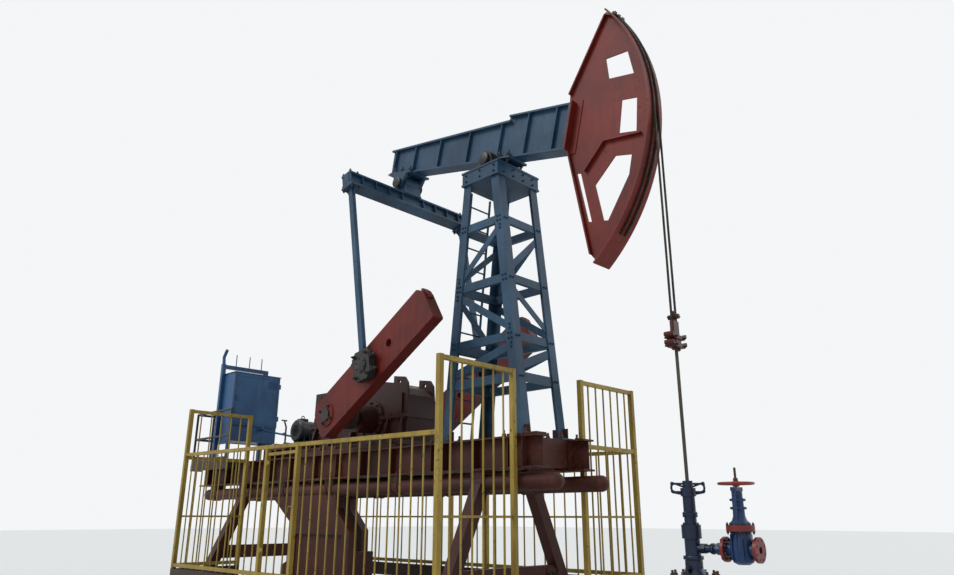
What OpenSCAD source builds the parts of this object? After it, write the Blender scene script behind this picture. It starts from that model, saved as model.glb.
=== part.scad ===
// Crank-balanced beam pumping unit on a raised steel base, with its wellhead, control cabinet and guard fence.
// Millimetres, +Z up, +X from the gearbox towards the wellhead, +Y across the machine. Z = 0 is the ground.

/* [Main sizes] */
// radius of the horse head's arc about the saddle bearing
R = 2500; // [2300:10:2700]
// height of the saddle bearing above the ground
PZ = 6160; // [5900:10:6400]
// slope of the walking beam in the stored pose, head down
TILT = 13.5; // [8:0.5:18]
// shift along X that puts the middle of the whole length at the origin
XO = 1945; // [1700:5:2200]

/* [Tower] */
// top of the main frame, where the tower stands
ZF = 2300; // [2200:10:2400]
// half length of the tower foot along X
TBX = 700; // [650:10:760]
// half length of the tower head along X
TTX = 300; // [260:10:340]
// half width of the tower along Y
TY = 400; // [360:10:440]
// flange of a tower leg
LEG = 135; // [100:5:160]

/* [Drive] */
// place of the slow shaft along X
SX = -2370; // [-2450:10:-2250]
// slow shaft's height above the frame
SH0 = 460; // [440:10:520]
// crank radius in use
CR = 1080; // [1000:10:1150]
// crank angle above +X in the stored pose
CA = 31; // [25:1:40]
// inner and outer face of a crank, from the middle plane
CY0 = 885; // [850:5:920]
CY1 = 1060; // [1000:5:1100]
// tail bearing, along X from the saddle bearing
TX = -2050; // [-2150:10:-1950]
// tail bearing above the saddle bearing
TDZ = 370; // [320:10:420]
// motor's axis above the frame
MH = 490; // [460:10:520]
// pitman plane
MY = 1150; // [1140:5:1200]

/* [Guard fence] */
FX0 = -5350; // [-5600:10:-5200]
FX1 = 690; // [650:10:750]
// front corner on the far side
FX2 = 810; // [780:10:860]
// how far the front corners stand out sideways
FSKEW = 90; // [0:10:120]
FY = 1650; // [1600:10:1750]
FLOW = 2320; // [2200:10:2450]
FTALL = 3060; // [2900:10:3200]
// spacing of the fence bars
BARS = 195; // [150:5:250]

/* [Hidden] */
RR = R + 14;
TZ = PZ + TDZ;
SZ = ZF + SH0;
PINX = SX + CR * cos(CA);
PINZ = SZ + CR * sin(CA);
CZ = PZ - 148;
PIPE_Z = ZF - 525;
PIPE_D = 190;
RAIL_Z = ZF - 375;
BACK = -7130;
FRONT = 1010;
BLUE = [0.16, 0.22, 0.30];
RED = [0.36, 0.10, 0.07];
OXIDE = [0.20, 0.10, 0.08];
YEL = [0.72, 0.52, 0.12];
GREY = [0.45, 0.45, 0.45];
DARK = [0.08, 0.08, 0.09];

module at() { translate([XO, 0, 0]) children(); }
module b(x0, x1, y0, y1, z0, z1) { translate([x0, y0, z0]) cube([x1 - x0, y1 - y0, z1 - z0]); }
module both() { children(); mirror([0, 1, 0]) children(); }
// a polygon in X and Z, between two values of Y
module xz(p, y0, y1) { translate([0, y1, 0]) rotate([90, 0, 0]) linear_extrude(y1 - y0) polygon(p); }
// a polygon in Y and Z, between two values of X
module yz(p, x0, x1) { translate([x0, 0, 0]) rotate([90, 0, 90]) linear_extrude(x1 - x0) polygon(p); }
// a cylinder along Y
module cy(x, z, y0, y1, d, n = 40) { translate([x, y1, z]) rotate([90, 0, 0]) cylinder(h = y1 - y0, d = d, $fn = n); }
// a cylinder along X
module cx(y, z, x0, x1, d, n = 40) { translate([x0, y, z]) rotate([0, 90, 0]) cylinder(h = x1 - x0, d = d, $fn = n); }
// a cylinder along Z
module cz(x, y, z0, z1, d, n = 40) { translate([x, y, z0]) cylinder(h = z1 - z0, d = d, $fn = n); }
// a round bar between two points
module rod(p, q, d, n = 12) {
  v = q - p; l = norm(v);
  translate(p) rotate([0, acos(v[2] / l), atan2(v[1], v[0])]) cylinder(h = l, d = d, $fn = n);
}
// turn about the Y axis through a point in X and Z, from X towards Z
module turn(x, z, a) { translate([x, 0, z]) rotate([0, -a, 0]) children(); }
module onbeam() { turn(0, PZ, -TILT) children(); }
module oncrank() { turn(SX, SZ, CA) children(); }

// ---------- base ----------
// two splayed legs under the pipes, from a place at the pipe to a place on the ground, and the tie between them
module trestle(x0, x1, y0, y1, tie_z, tie_h) {
  both() {
    difference() {
      hull() { b(x0 - 75, x0 + 75, y0 - 85, y0 + 85, PIPE_Z - 1, PIPE_Z); b(x1 - 75, x1 + 75, y1 - 85, y1 + 85, 24, 25); }
      cx(430, PIPE_Z, x0 - 400, x0 + 400, PIPE_D);
    }
    b(x1 - 170, x1 + 170, y1 - 170, y1 + 170, 0, 25);
  }
  f = (PIPE_Z - tie_z - tie_h / 2) / (PIPE_Z - 25); xt = x0 + (x1 - x0) * f; yt = y0 + (y1 - y0) * f;
  b(xt - 50, xt + 50, -yt, yt, tie_z, tie_z + tie_h);
}
module base_legs() color(OXIDE) at() {
  trestle(-5600, -5500, 410, 1250, 750, 200);
  trestle(70, 70, 469, 1290, 640, 180);
}
module gearbox_pier() color(OXIDE) at() {
  both() difference() {
    xz([[-4600, PIPE_Z - 67], [-2830, PIPE_Z - 67], [-2820, 1510], [-2470, 1200], [-2440, 25], [-4180, 25], [-4180, 690], [-4033, 750], [-4033, 1330]], 360, 500);
    cx(430, PIPE_Z, -4900, -2500, PIPE_D);
    xz([[-3900, 1150], [-2640, 1150], [-2640, 160], [-3900, 160]], 450, 520);
  }
  both() b(-4250, -2380, 300, 560, 0, 25);
  b(-3120, -3000, -360, 360, 500, 900);
}
module skid_pipes() color(OXIDE) at() both() {
  cx(430, PIPE_Z, BACK + 230, FRONT + 160, PIPE_D);
  translate([FRONT + 160, 430, PIPE_Z]) sphere(d = PIPE_D, $fn = 32);
  translate([BACK + 230, 430, PIPE_Z]) sphere(d = PIPE_D, $fn = 32);
}
module ibeam_x(x0, x1, y, z0, z1, w, t = 22, web = 16) {
  b(x0, x1, y - w / 2, y + w / 2, z0, z0 + t);
  b(x0, x1, y - w / 2, y + w / 2, z1 - t, z1);
  b(x0, x1, y - web / 2, y + web / 2, z0, z1);
}
module main_frame() color(OXIDE) at() {
  both() ibeam_x(BACK, FRONT, 430, RAIL_Z, ZF, 220);
  for (x = [BACK + 180, -5200, -3900, -1600, -700, 700]) b(x - 60, x + 60, -424, 424, RAIL_Z + 35, ZF);
  both() difference() {
    for (x = [-6600, -5600, -4300, -3000, -1500, 70]) b(x - 90, x + 90, 350, 510, PIPE_Z + 40, RAIL_Z + 2);
    cx(430, PIPE_Z, BACK, FRONT + 200, PIPE_D);
  }
}

// ---------- tower ----------
TH = CZ - ZF;
SH = (TBX - TTX) / TH;
LT = CZ - 212;
// shear that leans an upright inwards along X as it rises
module lean(s) { multmatrix([[1, 0, -s * SH, s * TBX], [0, 1, 0, 0], [0, 0, 1, ZF], [0, 0, 0, 1]]) children(); }
function lx(z) = TBX - SH * (z - ZF);
module tower_legs() color(BLUE) at() {
  for (s = [-1, 1]) both() {
    lean(s) linear_extrude(LT - ZF) polygon([[0, TY], [-s * LEG, TY], [-s * LEG, TY - 14], [-s * 14, TY - 14], [-s * 14, TY - LEG], [0, TY - LEG]]);
  }
  for (s = [-1, 1]) both() b(s * TBX - 130 - s * 60, s * TBX + 130 - s * 60, TY - 180, TY + 60, ZF, ZF + 20);
}
LV = [for (f = [0.2086, 0.3543, 0.5771, 0.8171]) ZF + (LT - ZF) * f];
module hx(z, h = 110) { both() b(-lx(z) + 40, lx(z) - 40, TY - 14 - 55, TY - 14, z - h / 2, z + h / 2); }
module hy(z, h = 110) { for (s = [-1, 1]) lean(s) b(-s * 14 - (s > 0 ? 55 : 0), -s * 14 + (s > 0 ? 0 : 55), -TY + 30, TY - 30, z - ZF - h / 2, z - ZF + h / 2); }
module dx(z0, z1, s) {
  a = [-s * (lx(z0) - 90), z0 + 120]; c = [s * (lx(z1) - 90), z1 - 120];
  both() xz([[a[0], a[1] - 60], [c[0], c[1] - 60], [c[0], c[1] + 50], [a[0], a[1] + 50]], TY - 28, TY - 14);
}
module dy(z0, z1, s) {
  for (q = [-1, 1]) lean(q) translate([-q * 14 - (q > 0 ? 14 : 0), 0, 0]) yz([[-s * (TY - 50), z0 - ZF + 60], [s * (TY - 50), z1 - ZF - 170], [s * (TY - 50), z1 - ZF - 60], [-s * (TY - 50), z0 - ZF + 170]], 0, 14);
}
module tower_bracing() color(BLUE) at() {
  for (z = LV) { hx(z); hy(z); }
  dx(LV[0], LV[1], 1); dx(LV[1], LV[2], -1); dx(LV[2], LV[3], 1);
  dy(LV[0], LV[1], 1); dy(LV[1], LV[2], -1); dy(LV[2], LV[3], 1);
}
module tower_cap() color(BLUE) at() {
  b(-345, 345, -435, 435, LT, CZ - 182);
  b(-335, 335, -425, 425, CZ - 182, CZ - 27);
  b(-345, 345, -435, 435, CZ - 27, CZ);
}
module ladder() color(BLUE) at() {
  difference() {
    for (s = [-1, 1]) translate([0, s * 190, 0]) rod([-767, 0, ZF - 60], [-lx(LT) - 60, 0, LT], 34, 8);
    b(-900, -600, -300, 300, ZF - 200, ZF);
  }
  for (i = [1:floor((LT - ZF - 60) / 300)]) let (z = ZF + i * 300, x = -760 + (TBX - lx(z)) * ((760 - lx(LT) - 60) / (TBX - lx(LT)))) rod([x, -190, z], [x, 190, z], 24, 8);
  for (z = [LV[0], LV[2]]) for (s = [-1, 1]) lean(-1) b(-62, 14, s * 190 - 15, s * 190 + 15, z - ZF - 15, z - ZF + 15);
}
module saddle_bearings() color(DARK) at() both() difference() {
  union() {
    b(-210, 210, 205, 325, CZ, CZ + 40);
    xz([[-140, CZ + 38], [140, CZ + 38], [125, PZ], [-125, PZ]], 205, 325);
    cy(0, PZ, 205, 325, 250);
    cy(0, PZ, 325, 345, 190);
  }
  cy(0, PZ, 150, 400, 141, 64);
}

// ---------- gearbox and drive ----------
IX = SX - 760; IZ = SZ + 200; GY = 260;
MX = -4620; MZ = ZF + MH; MB = MZ - 230;
module gearbox() color(OXIDE) at() difference() {
  union() {
    xz([[-3950, ZF + 120], [-1620, ZF + 120], [-1560, SZ], [-1570, SZ + 300], [-1640, SZ + 400], [-1900, SZ + 500], [-2300, SZ + 570],
      [-2980, SZ + 570], [-3500, SZ + 510], [-3800, SZ + 400], [-3900, SZ + 140]], -GY, GY);
    b(-3980, -1540, -GY - 40, GY + 40, SZ - 20, SZ + 30);
    b(-3970, -1600, -400, 400, ZF + 60, ZF + 125);
    both() cy(SX, SZ, GY, 560, 400);
    both() cy(SX, SZ, GY, GY + 30, 560, 32);
    cy(IX, IZ, GY, 500, 260);
    cy(IX, IZ, -380, -GY, 240);
    // lifting lugs at both ends and side ribs
    both() xz([[-1900, SZ + 400], [-1890, SZ + 595], [-1660, SZ + 560], [-1590, SZ + 470], [-1572, SZ + 290]], GY - 35, GY + 2);
    both() xz([[-3890, SZ + 200], [-3880, SZ + 545], [-3590, SZ + 540], [-3560, SZ + 440]], GY - 35, GY + 2);
    for (x = [-3780, -3300, -2780, -1960, -1640]) both() yz([[GY - 5, ZF + 120], [390, ZF + 120], [GY + 38, SZ - 15], [GY - 5, SZ - 15]], x - 12, x + 12);
    for (x = [-3780, -1680]) both() b(x - 14, x + 14, GY - 5, GY + 28, SZ + 25, SZ + 330);
  }
  cy(-1770, SZ + 497, -GY - 50, GY + 50, 60, 24);
  cy(-3701, SZ + 450, -GY - 50, GY + 50, 70, 24);
  cy(SX, SZ, -700, 700, 181, 64);
  cy(IX, IZ, -700, 700, 91, 48);
}
module gearbox_feet() color(OXIDE) at() both() {
  b(-3950, -1620, 330, 480, ZF, ZF + 60);
}
module motor() color(DARK) at() {
  cy(MX, MZ, -110, 300, 380);
  cy(MX, MZ, -150, -110, 350);
  cy(MX, MZ, 300, 350, 330);
  b(MX - 150, MX + 150, -90, 240, MB, MZ);
  b(MX - 250, MX - 150, -20, 160, MZ - 150, MZ - 10);
  b(MX - 130, MX + 40, -80, 100, MZ + 100, MZ + 250);
}
module motor_base() color(OXIDE) at() {
  for (s = [-1, 1]) b(MX + s * 150 - 40, MX + s * 150 + 40, -430, 430, MB - 60, MB);
  b(MX - 330, MX + 330, -510, 510, MB - 120, MB - 60);
  for (x = [MX - 300, MX + 240]) b(x, x + 60, -510, 510, ZF, MB - 120);
}
RI = 420; RM = 110;
BL = norm([IX - MX, IZ - MZ]);
module belt_shape(g) {
  a = asin((RI - RM) / BL); t = atan2(IZ - MZ, IX - MX);
  translate([MX, MZ]) rotate(t) polygon(concat(
    [for (i = [0:20]) let (w = 90 + a + i * (180 - 2 * a) / 20) [(RM + g) * cos(w), (RM + g) * sin(w)]],
    [for (i = [0:40]) let (w = -90 - a + i * (180 + 2 * a) / 40) [BL + (RI + g) * cos(w), (RI + g) * sin(w)]]));
}
module drive_belts() color(DARK) at() for (y = [562, 590, 618, 646]) translate([0, y, 0]) rotate([90, 0, 0]) linear_extrude(17) difference() { belt_shape(13); belt_shape(0.6); }
module input_sheave() color(GREY) at() difference() {
  union() {
    cy(IX, IZ, 535, 655, RI * 2, 56);
    cy(IX, IZ, 505, 690, 190);
    cy(IX, IZ, -540, 690, 90, 48);
    cy(IX, IZ, -510, -400, 300);
  }
  for (a = [0:72:359]) turn(IX, IZ, a) cy(240, 0, 500, 700, 150, 24);
}
module motor_sheave() color(GREY) at() { cy(MX, MZ, 535, 655, RM * 2, 40); cy(MX, MZ, 350.3, 690, 55, 24); }

// ---------- cabinet ----------
CX0 = -6720; CX1 = -6320;
HX = CX1 + 16; HY = 484;
module knuckles(z0, n) { for (i = [0:n - 1]) cz(HX, HY, z0 + i * 60, z0 + i * 60 + 29.7, 26, 24); }
module cabinet_shell() color(BLUE) at() {
  difference() {
    b(CX0, CX1, -470, 470, 2720, 3980);
    b(CX0 + 12, CX1 + 20, -448, 448, 3020, 3958);
    b(CX0 + 12, CX1 - 12, -448, 448, 2742, 3030);
  }
  for (z = [3140, 3760]) { knuckles(z, 2); for (i = [0:1]) b(CX1 - 30, HX, 470, HY, z + i * 60, z + i * 60 + 29.7); }
}
module cabinet_door() color(BLUE) at() {
  b(CX1 + 5, CX1 + 27, -465, 465, 3010, 3975);
  for (z = [3170, 3790]) { cz(HX, HY, z, z + 29.7, 26, 24); b(CX1 + 8, CX1 + 24, 464, HY, z, z + 29.7); }
  b(CX1 + 27, CX1 + 50, -420, -395, 3450, 3560);
}
module cabinet_posts() color(BLUE) at() {
  for (y = [-500, 400]) b(CX0 - 70, CX0, y - 35, y + 35, ZF + 12, 4170);
  b(CX0 - 70, CX0, -465, 365, 4100, 4170);
  for (y = [-250, 30, 290]) { cz(CX0 - 35, y, 4170, 4400, 18, 10); }
  rod([CX0 - 35, -500, 4170], [CX0 - 60, -500, 4330], 60, 16);
  rod([CX0 - 60, -500, 4320], [CX0 + 40, -500, 4450], 60, 16);
  for (y = [-490, 385]) b(CX0 - 10, CX1, y, y + 50, 2670, 2720);
  for (y = [-490, 385]) b(CX1 - 60, CX1 - 10, y, y + 50, ZF + 12, 2680);
}
module platform() color(OXIDE) at() {
  b(BACK, -5760, -750, 750, ZF, ZF + 12);
  both() b(BACK, -5760, 700, 750, ZF - 110, ZF);
  for (x = [BACK, -5810]) both() b(x, x + 50, 541, 700, ZF - 110, ZF);
}
module platform_rail() color(DARK) at() {
  for (x = [-7100, -5800]) rod([x, -725, ZF + 12], [x, -725, 3220], 42);
  rod([-7100, 725, ZF + 12], [-7100, 725, 3220], 42);
  rod([-6450, -725, ZF + 12], [-6450, -725, 3220], 42);
  for (z = [2760, 3220]) { rod([-7100, -725, z], [-5800, -725, z], 42); rod([-7100, -725, z], [-7100, 725, z], 42); }
}
module conduit() color(BLUE) at() {
  cx(134, ZF + 655, CX1 + 0.3, CX1 + 40, 60, 24);
  rod([CX1 + 20, 134, ZF + 655], [MX - 275, 70, MZ - 80], 34, 12);
  cx(70, MZ - 80, MX - 290, MX - 250.3, 60, 24);
}

// ---------- fence ----------
module post(x, y, h) { b(x - 30, x + 30, y - 30, y + 30, 0, h); b(x - 90, x + 90, y - 90, y + 90, 0, 12); }
// height of a side's top rail, which falls a little towards the front
function ftop(x) = FLOW + 45 - (x - FX0) / (FX1 - FX0) * 100;
// a panel along X or Y between two posts' middles: kerb beam, square rails, a thin middle rail and thin bars
module panel_x(x0, x1, y, n) {
  xz([[x0, ftop(x0) - 50], [x1, ftop(x1) - 50], [x1, ftop(x1)], [x0, ftop(x0)]], y - 25, y + 25);
  b(x0, x1, y - 25, y + 25, 665, 715);
  b(x0, x1, y - 40, y + 40, 440, 640);
  b(x0, x1, y - 10, y + 10, 1388, 1414);
  for (i = [1:n - 1]) let (x = x0 + (x1 - x0) * i / n) b(x - 8, x + 8, y - 8, y + 8, 620, ftop(x) - 20);
}
module panel_y(y0, y1, x, z1, n) {
  b(x - 25, x + 25, y0, y1, z1 - 50, z1);
  b(x - 25, x + 25, y0, y1, 665, 715);
  b(x - 40, x + 40, y0, y1, 440, 640);
  b(x - 10, x + 10, y0, y1, 1388, 1414);
  for (i = [1:n - 1]) b(x - 8, x + 8, y0 + (y1 - y0) * i / n - 8, y0 + (y1 - y0) * i / n + 8, 620, z1 - 20);
}
// a side between the corner posts at FX0 and x2; skew moves its front end towards -Y
module fence_side(y, joints, x2, skew = 0) multmatrix([[1, 0, 0, 0], [-skew / (x2 - FX0), 1, 0, skew / (x2 - FX0) * FX0], [0, 0, 1, 0], [0, 0, 0, 1]]) {
  for (x = joints) post(x, y, ftop(x));
  for (i = [0:2]) let (x0 = i == 0 ? FX0 + 42 : joints[i - 1], x1 = i == 2 ? x2 - 42 : joints[i]) panel_x(x0, x1, y, round((x1 - x0) / BARS));
  for (x = [FX0 + 30, x2 - 42]) b(x, x + 12, y - 25, y + 25, ftop(x) - 50, ftop(x));
  b(joints[0], joints[1], y - 15, y + 15, FLOW - 140, FLOW - 100);
}
module fence_near() color(YEL) at() fence_side(-FY, [-2771, -2005], FX1, FSKEW);
module fence_far() color(YEL) at() fence_side(FY, [-2700, -1907], FX2, -FSKEW);
module fence_rear() color(YEL) at() both() {
  post(FX0, FY, FTALL); post(FX0, 600, FTALL);
  panel_y(600, FY, FX0, FTALL, round((FY - 600) / 175));
  b(FX0 - 25, FX0 + 25, 600, FY, FLOW - 50, FLOW);
  b(FX0 - 20, FX0 + 20, 540, 572, ZF - 80, ZF - 30);
}
module front_panel(x, y) {
  post(x, y, FTALL); post(x, 580, FTALL);
  panel_y(580, y, x, FTALL, round((y - 580) / 175));
  b(x - 20, x + 20, 540, 552, ZF - 80, ZF - 30);
}
module fence_front() color(YEL) at() {
  mirror([0, 1, 0]) front_panel(FX1, FY + FSKEW);
  front_panel(FX2, FY + FSKEW);
  b(FX2 - 25, FX2 + 25, 580, FY + FSKEW, FLOW - 105, FLOW - 55);
}

// ---------- wellhead ----------
module wellhead_body() color(BLUE) at() difference() {
  union() {
    cz(RR, 0, 0, 60, 640);
    cz(RR, 0, 60, 700, 340);
    cz(RR, 0, 700, 770, 500);
    cz(RR, 0, 775, 845, 500);
    cz(RR, 0, 770, 775, 300);
    cz(RR, 0, 845, 1000, 170);
    cz(RR, 0, 1000, 1200, 150);
    cx(0, 1110, RR + 40, RR + 260, 76);
    cz(RR, 0, 1200, 1260, 190);
  }
  cz(RR, 0, 20, 1300, 60);
}
module stuffing_box() color(BLUE) at() difference() {
  union() {
    cz(RR, 0, 1260, 1330, 190);
    cz(RR, 0, 1330, 1600, 120);
    cz(RR, 0, 1600, 1680, 150);
    cz(RR, 0, 1680, 1750, 100);
    for (s = [-1, 1]) translate([RR, 0, 0]) rotate([0, 0, 45]) {
      rod([s * 40, 0, 1690], [s * 165, 0, 1735], 20);
      rod([s * 165, 0, 1735], [s * 165, 0, 1640], 20);
      rod([s * 165, 0, 1640], [s * 60, 0, 1620], 20);
    }
  }
  cz(RR, 0, 1200, 1800, 37, 32);
}
VX = RR + 510;
module gate_valve() color(BLUE) at() difference() {
  union() {
  cx(0, 1110, RR + 260, RR + 300, 110, 8);
  cx(0, 1110, RR + 300, VX - 175, 76);
  for (s = [-1, 1]) cx(0, 1110, VX + s * 160 - 15, VX + s * 160 + 15, 230);
  cx(0, 1110, VX - 150, VX + 150, 120);
  cz(VX, 0, 1110, 1270, 120);
  cz(VX, 0, 1270, 1330, 220);
  for (s = [-1, 1]) b(VX - 20, VX + 20, s * 62 - 12, s * 62 + 12, 1325, 1640);
  difference() { b(VX - 28, VX + 28, -74, 74, 1640, 1676); cz(VX, 0, 1600, 1700, 27, 24); }
  }
  cx(0, 1110, VX + 60, VX + 200, 64, 32);
  for (i = [0:7]) let (a = 22.5 + i * 45) cx(90 * cos(a), 1110 + 90 * sin(a), VX + 140, VX + 180, 19, 24);
}
module valve_wheel() color(RED) at() {
  translate([VX, 0, 1710]) rotate_extrude($fn = 40) translate([160, 0]) circle(d = 26, $fn = 12);
  for (a = [0:60:299]) translate([VX, 0, 1710]) rotate([0, 0, a]) b(28, 152, -9, 9, -7, 7);
  cz(VX, 0, 1681, 1740, 70);
  cz(VX, 0, 1337, 1860, 26, 24);
}

// ---------- beam body ----------
module walking_beam() color(BLUE) at() onbeam() {
  xz([[-2500, 70], [1225, 70], [1225, 96], [-2500, 96]], -120, 120);
  xz([[-2520, 510], [163, 640], [163, 610], [-2520, 482]], -120, 120);
  xz([[-2520, 484], [-2500, 96], [1225, 96], [1225, 700], [163, 700], [163, 612]], -62, 62);
  xz([[130, 690], [1225, 690], [1225, 716], [130, 716]], -120, 120);
  for (x = [-2400, -1900, -1300, -650, 0, 500, 1000]) b(x - 8, x + 8, -112, 112, 90, x < 150 ? 490 + (x + 2520) * 0.048 : 700);
}
module saddle() color(BLUE) at() {
  onbeam() b(-330, 330, -190, 190, 40, 70);
  onbeam() difference() { cy(0, 0, -160, 160, 230); b(-200, 200, -200, 200, 45, 200); }
  both() cy(0, PZ, 150, 348, 140, 64);
}
TU = (TX * cos(TILT) - (TZ - PZ) * sin(TILT));
TN = (TX * sin(TILT) + (TZ - PZ) * cos(TILT));
module tail_bracket() color(BLUE) at() {
  onbeam() b(TU - 260, TU + 260, -205, 205, 40, 70);
  onbeam() both() xz([[TU - 170, 40], [TU + 170, 40], [TU + 80, TN - 60], [TU - 80, TN - 60]], 155, 205);
  both() cy(TX, TZ, 150, 210, 180);
  cy(TX, TZ, -225, 225, 100, 48);
}
module headpos() { translate([0, 0, PZ]) children(); }
// places on the head's arc, and on the lower back edge at a height
function arc(r) = [for (i = [0:48]) let (a = -49.5 + i * 86.5 / 48) [r * cos(a), r * sin(a)]];
function back(z) = 1224 + (-272 - z) / 1451 * (R - 1010 - 1224);
HEADP = concat(arc(R - 22), [[R - 596, 1515], [1280, 592], [1182, -243], [1224, -272], [R - 1010, -1723]]);
RIB = [[R - 1039, -590], [R - 722, -276], [R - 195, -361], [R - 199, -381], [R - 715, -297], [R - 1025, -605]];
// one web with windows, and flanges on its back edges and above the lower window
module head_web() color(RED) at() headpos() {
  difference() {
    xz(HEADP, -10, 10);
    translate([0, 0, -PZ]) onbeam() b(700, 1226, -30, 30, 30, 724);
    xz([[R - 638, 880], [R - 312, 841], [R - 245, 482], [R - 610, 568]], -20, 20);
    xz([[R - 442, 189], [R - 225, 134], [R - 266, -314], [R - 513, -251]], -20, 20);
    xz([[R - 587, -531], [R - 352, -595], [R - 408, -845], [R - 739, -1344], [R - 806, -1329], [R - 903, -821]], -20, 20);
    xz([[back(-572) + 52, -572], [back(-591) + 110, -591], [back(-1296) + 112, -1296], [back(-1280) + 61, -1280]], -20, 20);
  }
  translate([0, 0, -PZ]) onbeam() b(1225, 1250, -126, 126, 60, 740);
  xz([[1280, 592], [1297, 581], [R - 579, 1504], [R - 596, 1515]], -60, 60);
  xz([[1224, -272], [1244, -268], [R - 990, -1719], [R - 1010, -1723]], -60, 60);
  xz(RIB, -60, 60);
}
module head_arc() color(RED) at() headpos() {
  xz(concat(arc(R), [for (i = [48:-1:0]) arc(R - 22)[i]]), -160, 160);
}
ROPEY = 45;
module ropes_on_head() color(DARK) at() headpos() {
  both() translate([0, ROPEY, 0]) rotate([90, 0, 0]) rotate_extrude(angle = 34, $fn = 160) translate([RR, 0]) circle(d = 27.4, $fn = 16);
  rotate([0, -34, 0]) b(R + 0.3, R + 50, -100, 100, -30, 30);
}

// ---------- crank body ----------
module crank_slab(s) {
  oncrank() difference() {
    union() {
      xz([[-250, -190], [-190, -250], [2385, -250], [2400, -235], [2410, 170], [2320, 280], [-150, 280], [-250, 160]], s > 0 ? CY0 : -CY1, s > 0 ? CY1 : -CY0);
    }
    for (u = [804, 1330, 1558]) cy(u, 20, s > 0 ? CY0 - 10 : -CY1 - 10, s > 0 ? CY1 + 10 : -CY0 + 10, 110, 24);
    cy(0, 0, s > 0 ? CY0 - 10 : -CY1 - 10, s > 0 ? CY1 + 10 : -CY0 + 10, 181, 64);
  }
}
module crank_near() color(RED) at() crank_slab(-1);
module crank_far() color(RED) at() crank_slab(1);
module crank_shaft() color(GREY) at() {
  oncrank() { cy(0, 0, -1100, 1100, 180, 64); both() cy(0, 0, 620, CY0, 330); }
}

// ---------- pitman body ----------
UX = PINX - TX; UZ = PINZ - TZ;
UL = norm([UX, UZ]);
PA = atan2(UZ, UX);
function along(d) = [TX + UX * d / UL, TZ + UZ * d / UL];
// local frame of the pitmans: x from the tail bearing towards the crank pin
module onpit() { turn(TX, TZ, PA) children(); }
EQD = 330;
module equalizer() color(BLUE) at() {
  onpit() difference() {
    union() {
      cy(0, 0, -148, 148, 300);
      b(0, EQD - 90, -148, 148, -130, 130);
    }
    cy(0, 0, -200, 200, 101, 48);
  }
  onpit() {
    b(EQD - 105, EQD - 75, -MY - 90, MY + 90, -110, 110);
    b(EQD + 75, EQD + 105, -MY - 90, MY + 90, -110, 110);
    b(EQD - 80, EQD + 80, -MY - 90, MY + 90, -60, 60);
  }
}
module pitman(s) {
  onpit() {
    b(EQD + 105, EQD + 135, s * MY - 90, s * MY + 90, -130, 130);
    b(EQD + 135, UL - 205, s * MY - 30, s * MY + 30, -45, 45);
  }
}
module both2(s) { if (s > 0) children(); else mirror([0, 1, 0]) children(); }
module pitmans() color(BLUE) at() for (s = [-1, 1]) pitman(s);
module pin_bearing(s) {
  both2(s) onpit() {
    translate([UL, 0, 0]) xz([[-205, -110], [-130, -175], [130, -175], [205, -110], [205, 110], [130, 175], [-130, 175], [-205, 110]], CY1 + 40, MY + 50);
    cy(UL, 0, CY1 + 25, CY1 + 40, 300);
    cy(UL, 0, CY1 + 6, CY1 + 25, 150);
  }
}
module pin_bearings() color(OXIDE) at() for (s = [-1, 1]) pin_bearing(s);

// ---------- rod string ----------
module rod_carrier() color(BLUE) at() {
  difference() { union() { b(RR - 60, RR + 60, -150, 150, 3150, 3250); b(RR - 75, RR + 75, -75, 75, 3120, 3150); } cz(RR, 0, 3000, 3300, 37, 32); }
  difference() { cz(RR, 0, 3250, 3400, 62); cz(RR, 0, 3000, 3500, 37, 32); }
  for (s = [-1, 1]) cz(RR, s * ROPEY, 3250, 3419.7, 50, 24);
}
module polished_rod() color(GREY) at() cz(RR, 0, 30, 3530, 36, 32);
module ropes_straight() color(DARK) at() for (s = [-1, 1]) {
  rod([RR, s * ROPEY, PZ - 0.3], [RR, s * ROPEY, 3420], 27.4, 16);
}

base_legs();
gearbox_pier();
skid_pipes();
main_frame();
tower_legs();
tower_bracing();
tower_cap();
ladder();
saddle_bearings();
gearbox();
gearbox_feet();
motor();
motor_base();
drive_belts();
cabinet_shell();
cabinet_posts();
platform();
platform_rail();
conduit();
fence_rear();
fence_near();
fence_far();
fence_front();
wellhead_body();
stuffing_box();
gate_valve();
walking_beam();
saddle();
tail_bracket();
head_web();
head_arc();
ropes_on_head();
crank_shaft();
crank_near();
crank_far();
equalizer();
pitmans();
pin_bearings();
rod_carrier();
polished_rod();
ropes_straight();
input_sheave();
motor_sheave();
valve_wheel();
cabinet_door();
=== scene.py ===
"""Beam pumping unit with its wellhead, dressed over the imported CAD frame.

Metres, Z up, X from the gearbox towards the wellhead, Y across. The script follows the plant as it is put
together: base, frame, tower, drive, cabinet, fence, wellhead, beam, head, ropes, cranks, pitmans, rod.
"""
import math

import bpy
from mathutils import Matrix, Vector


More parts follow.
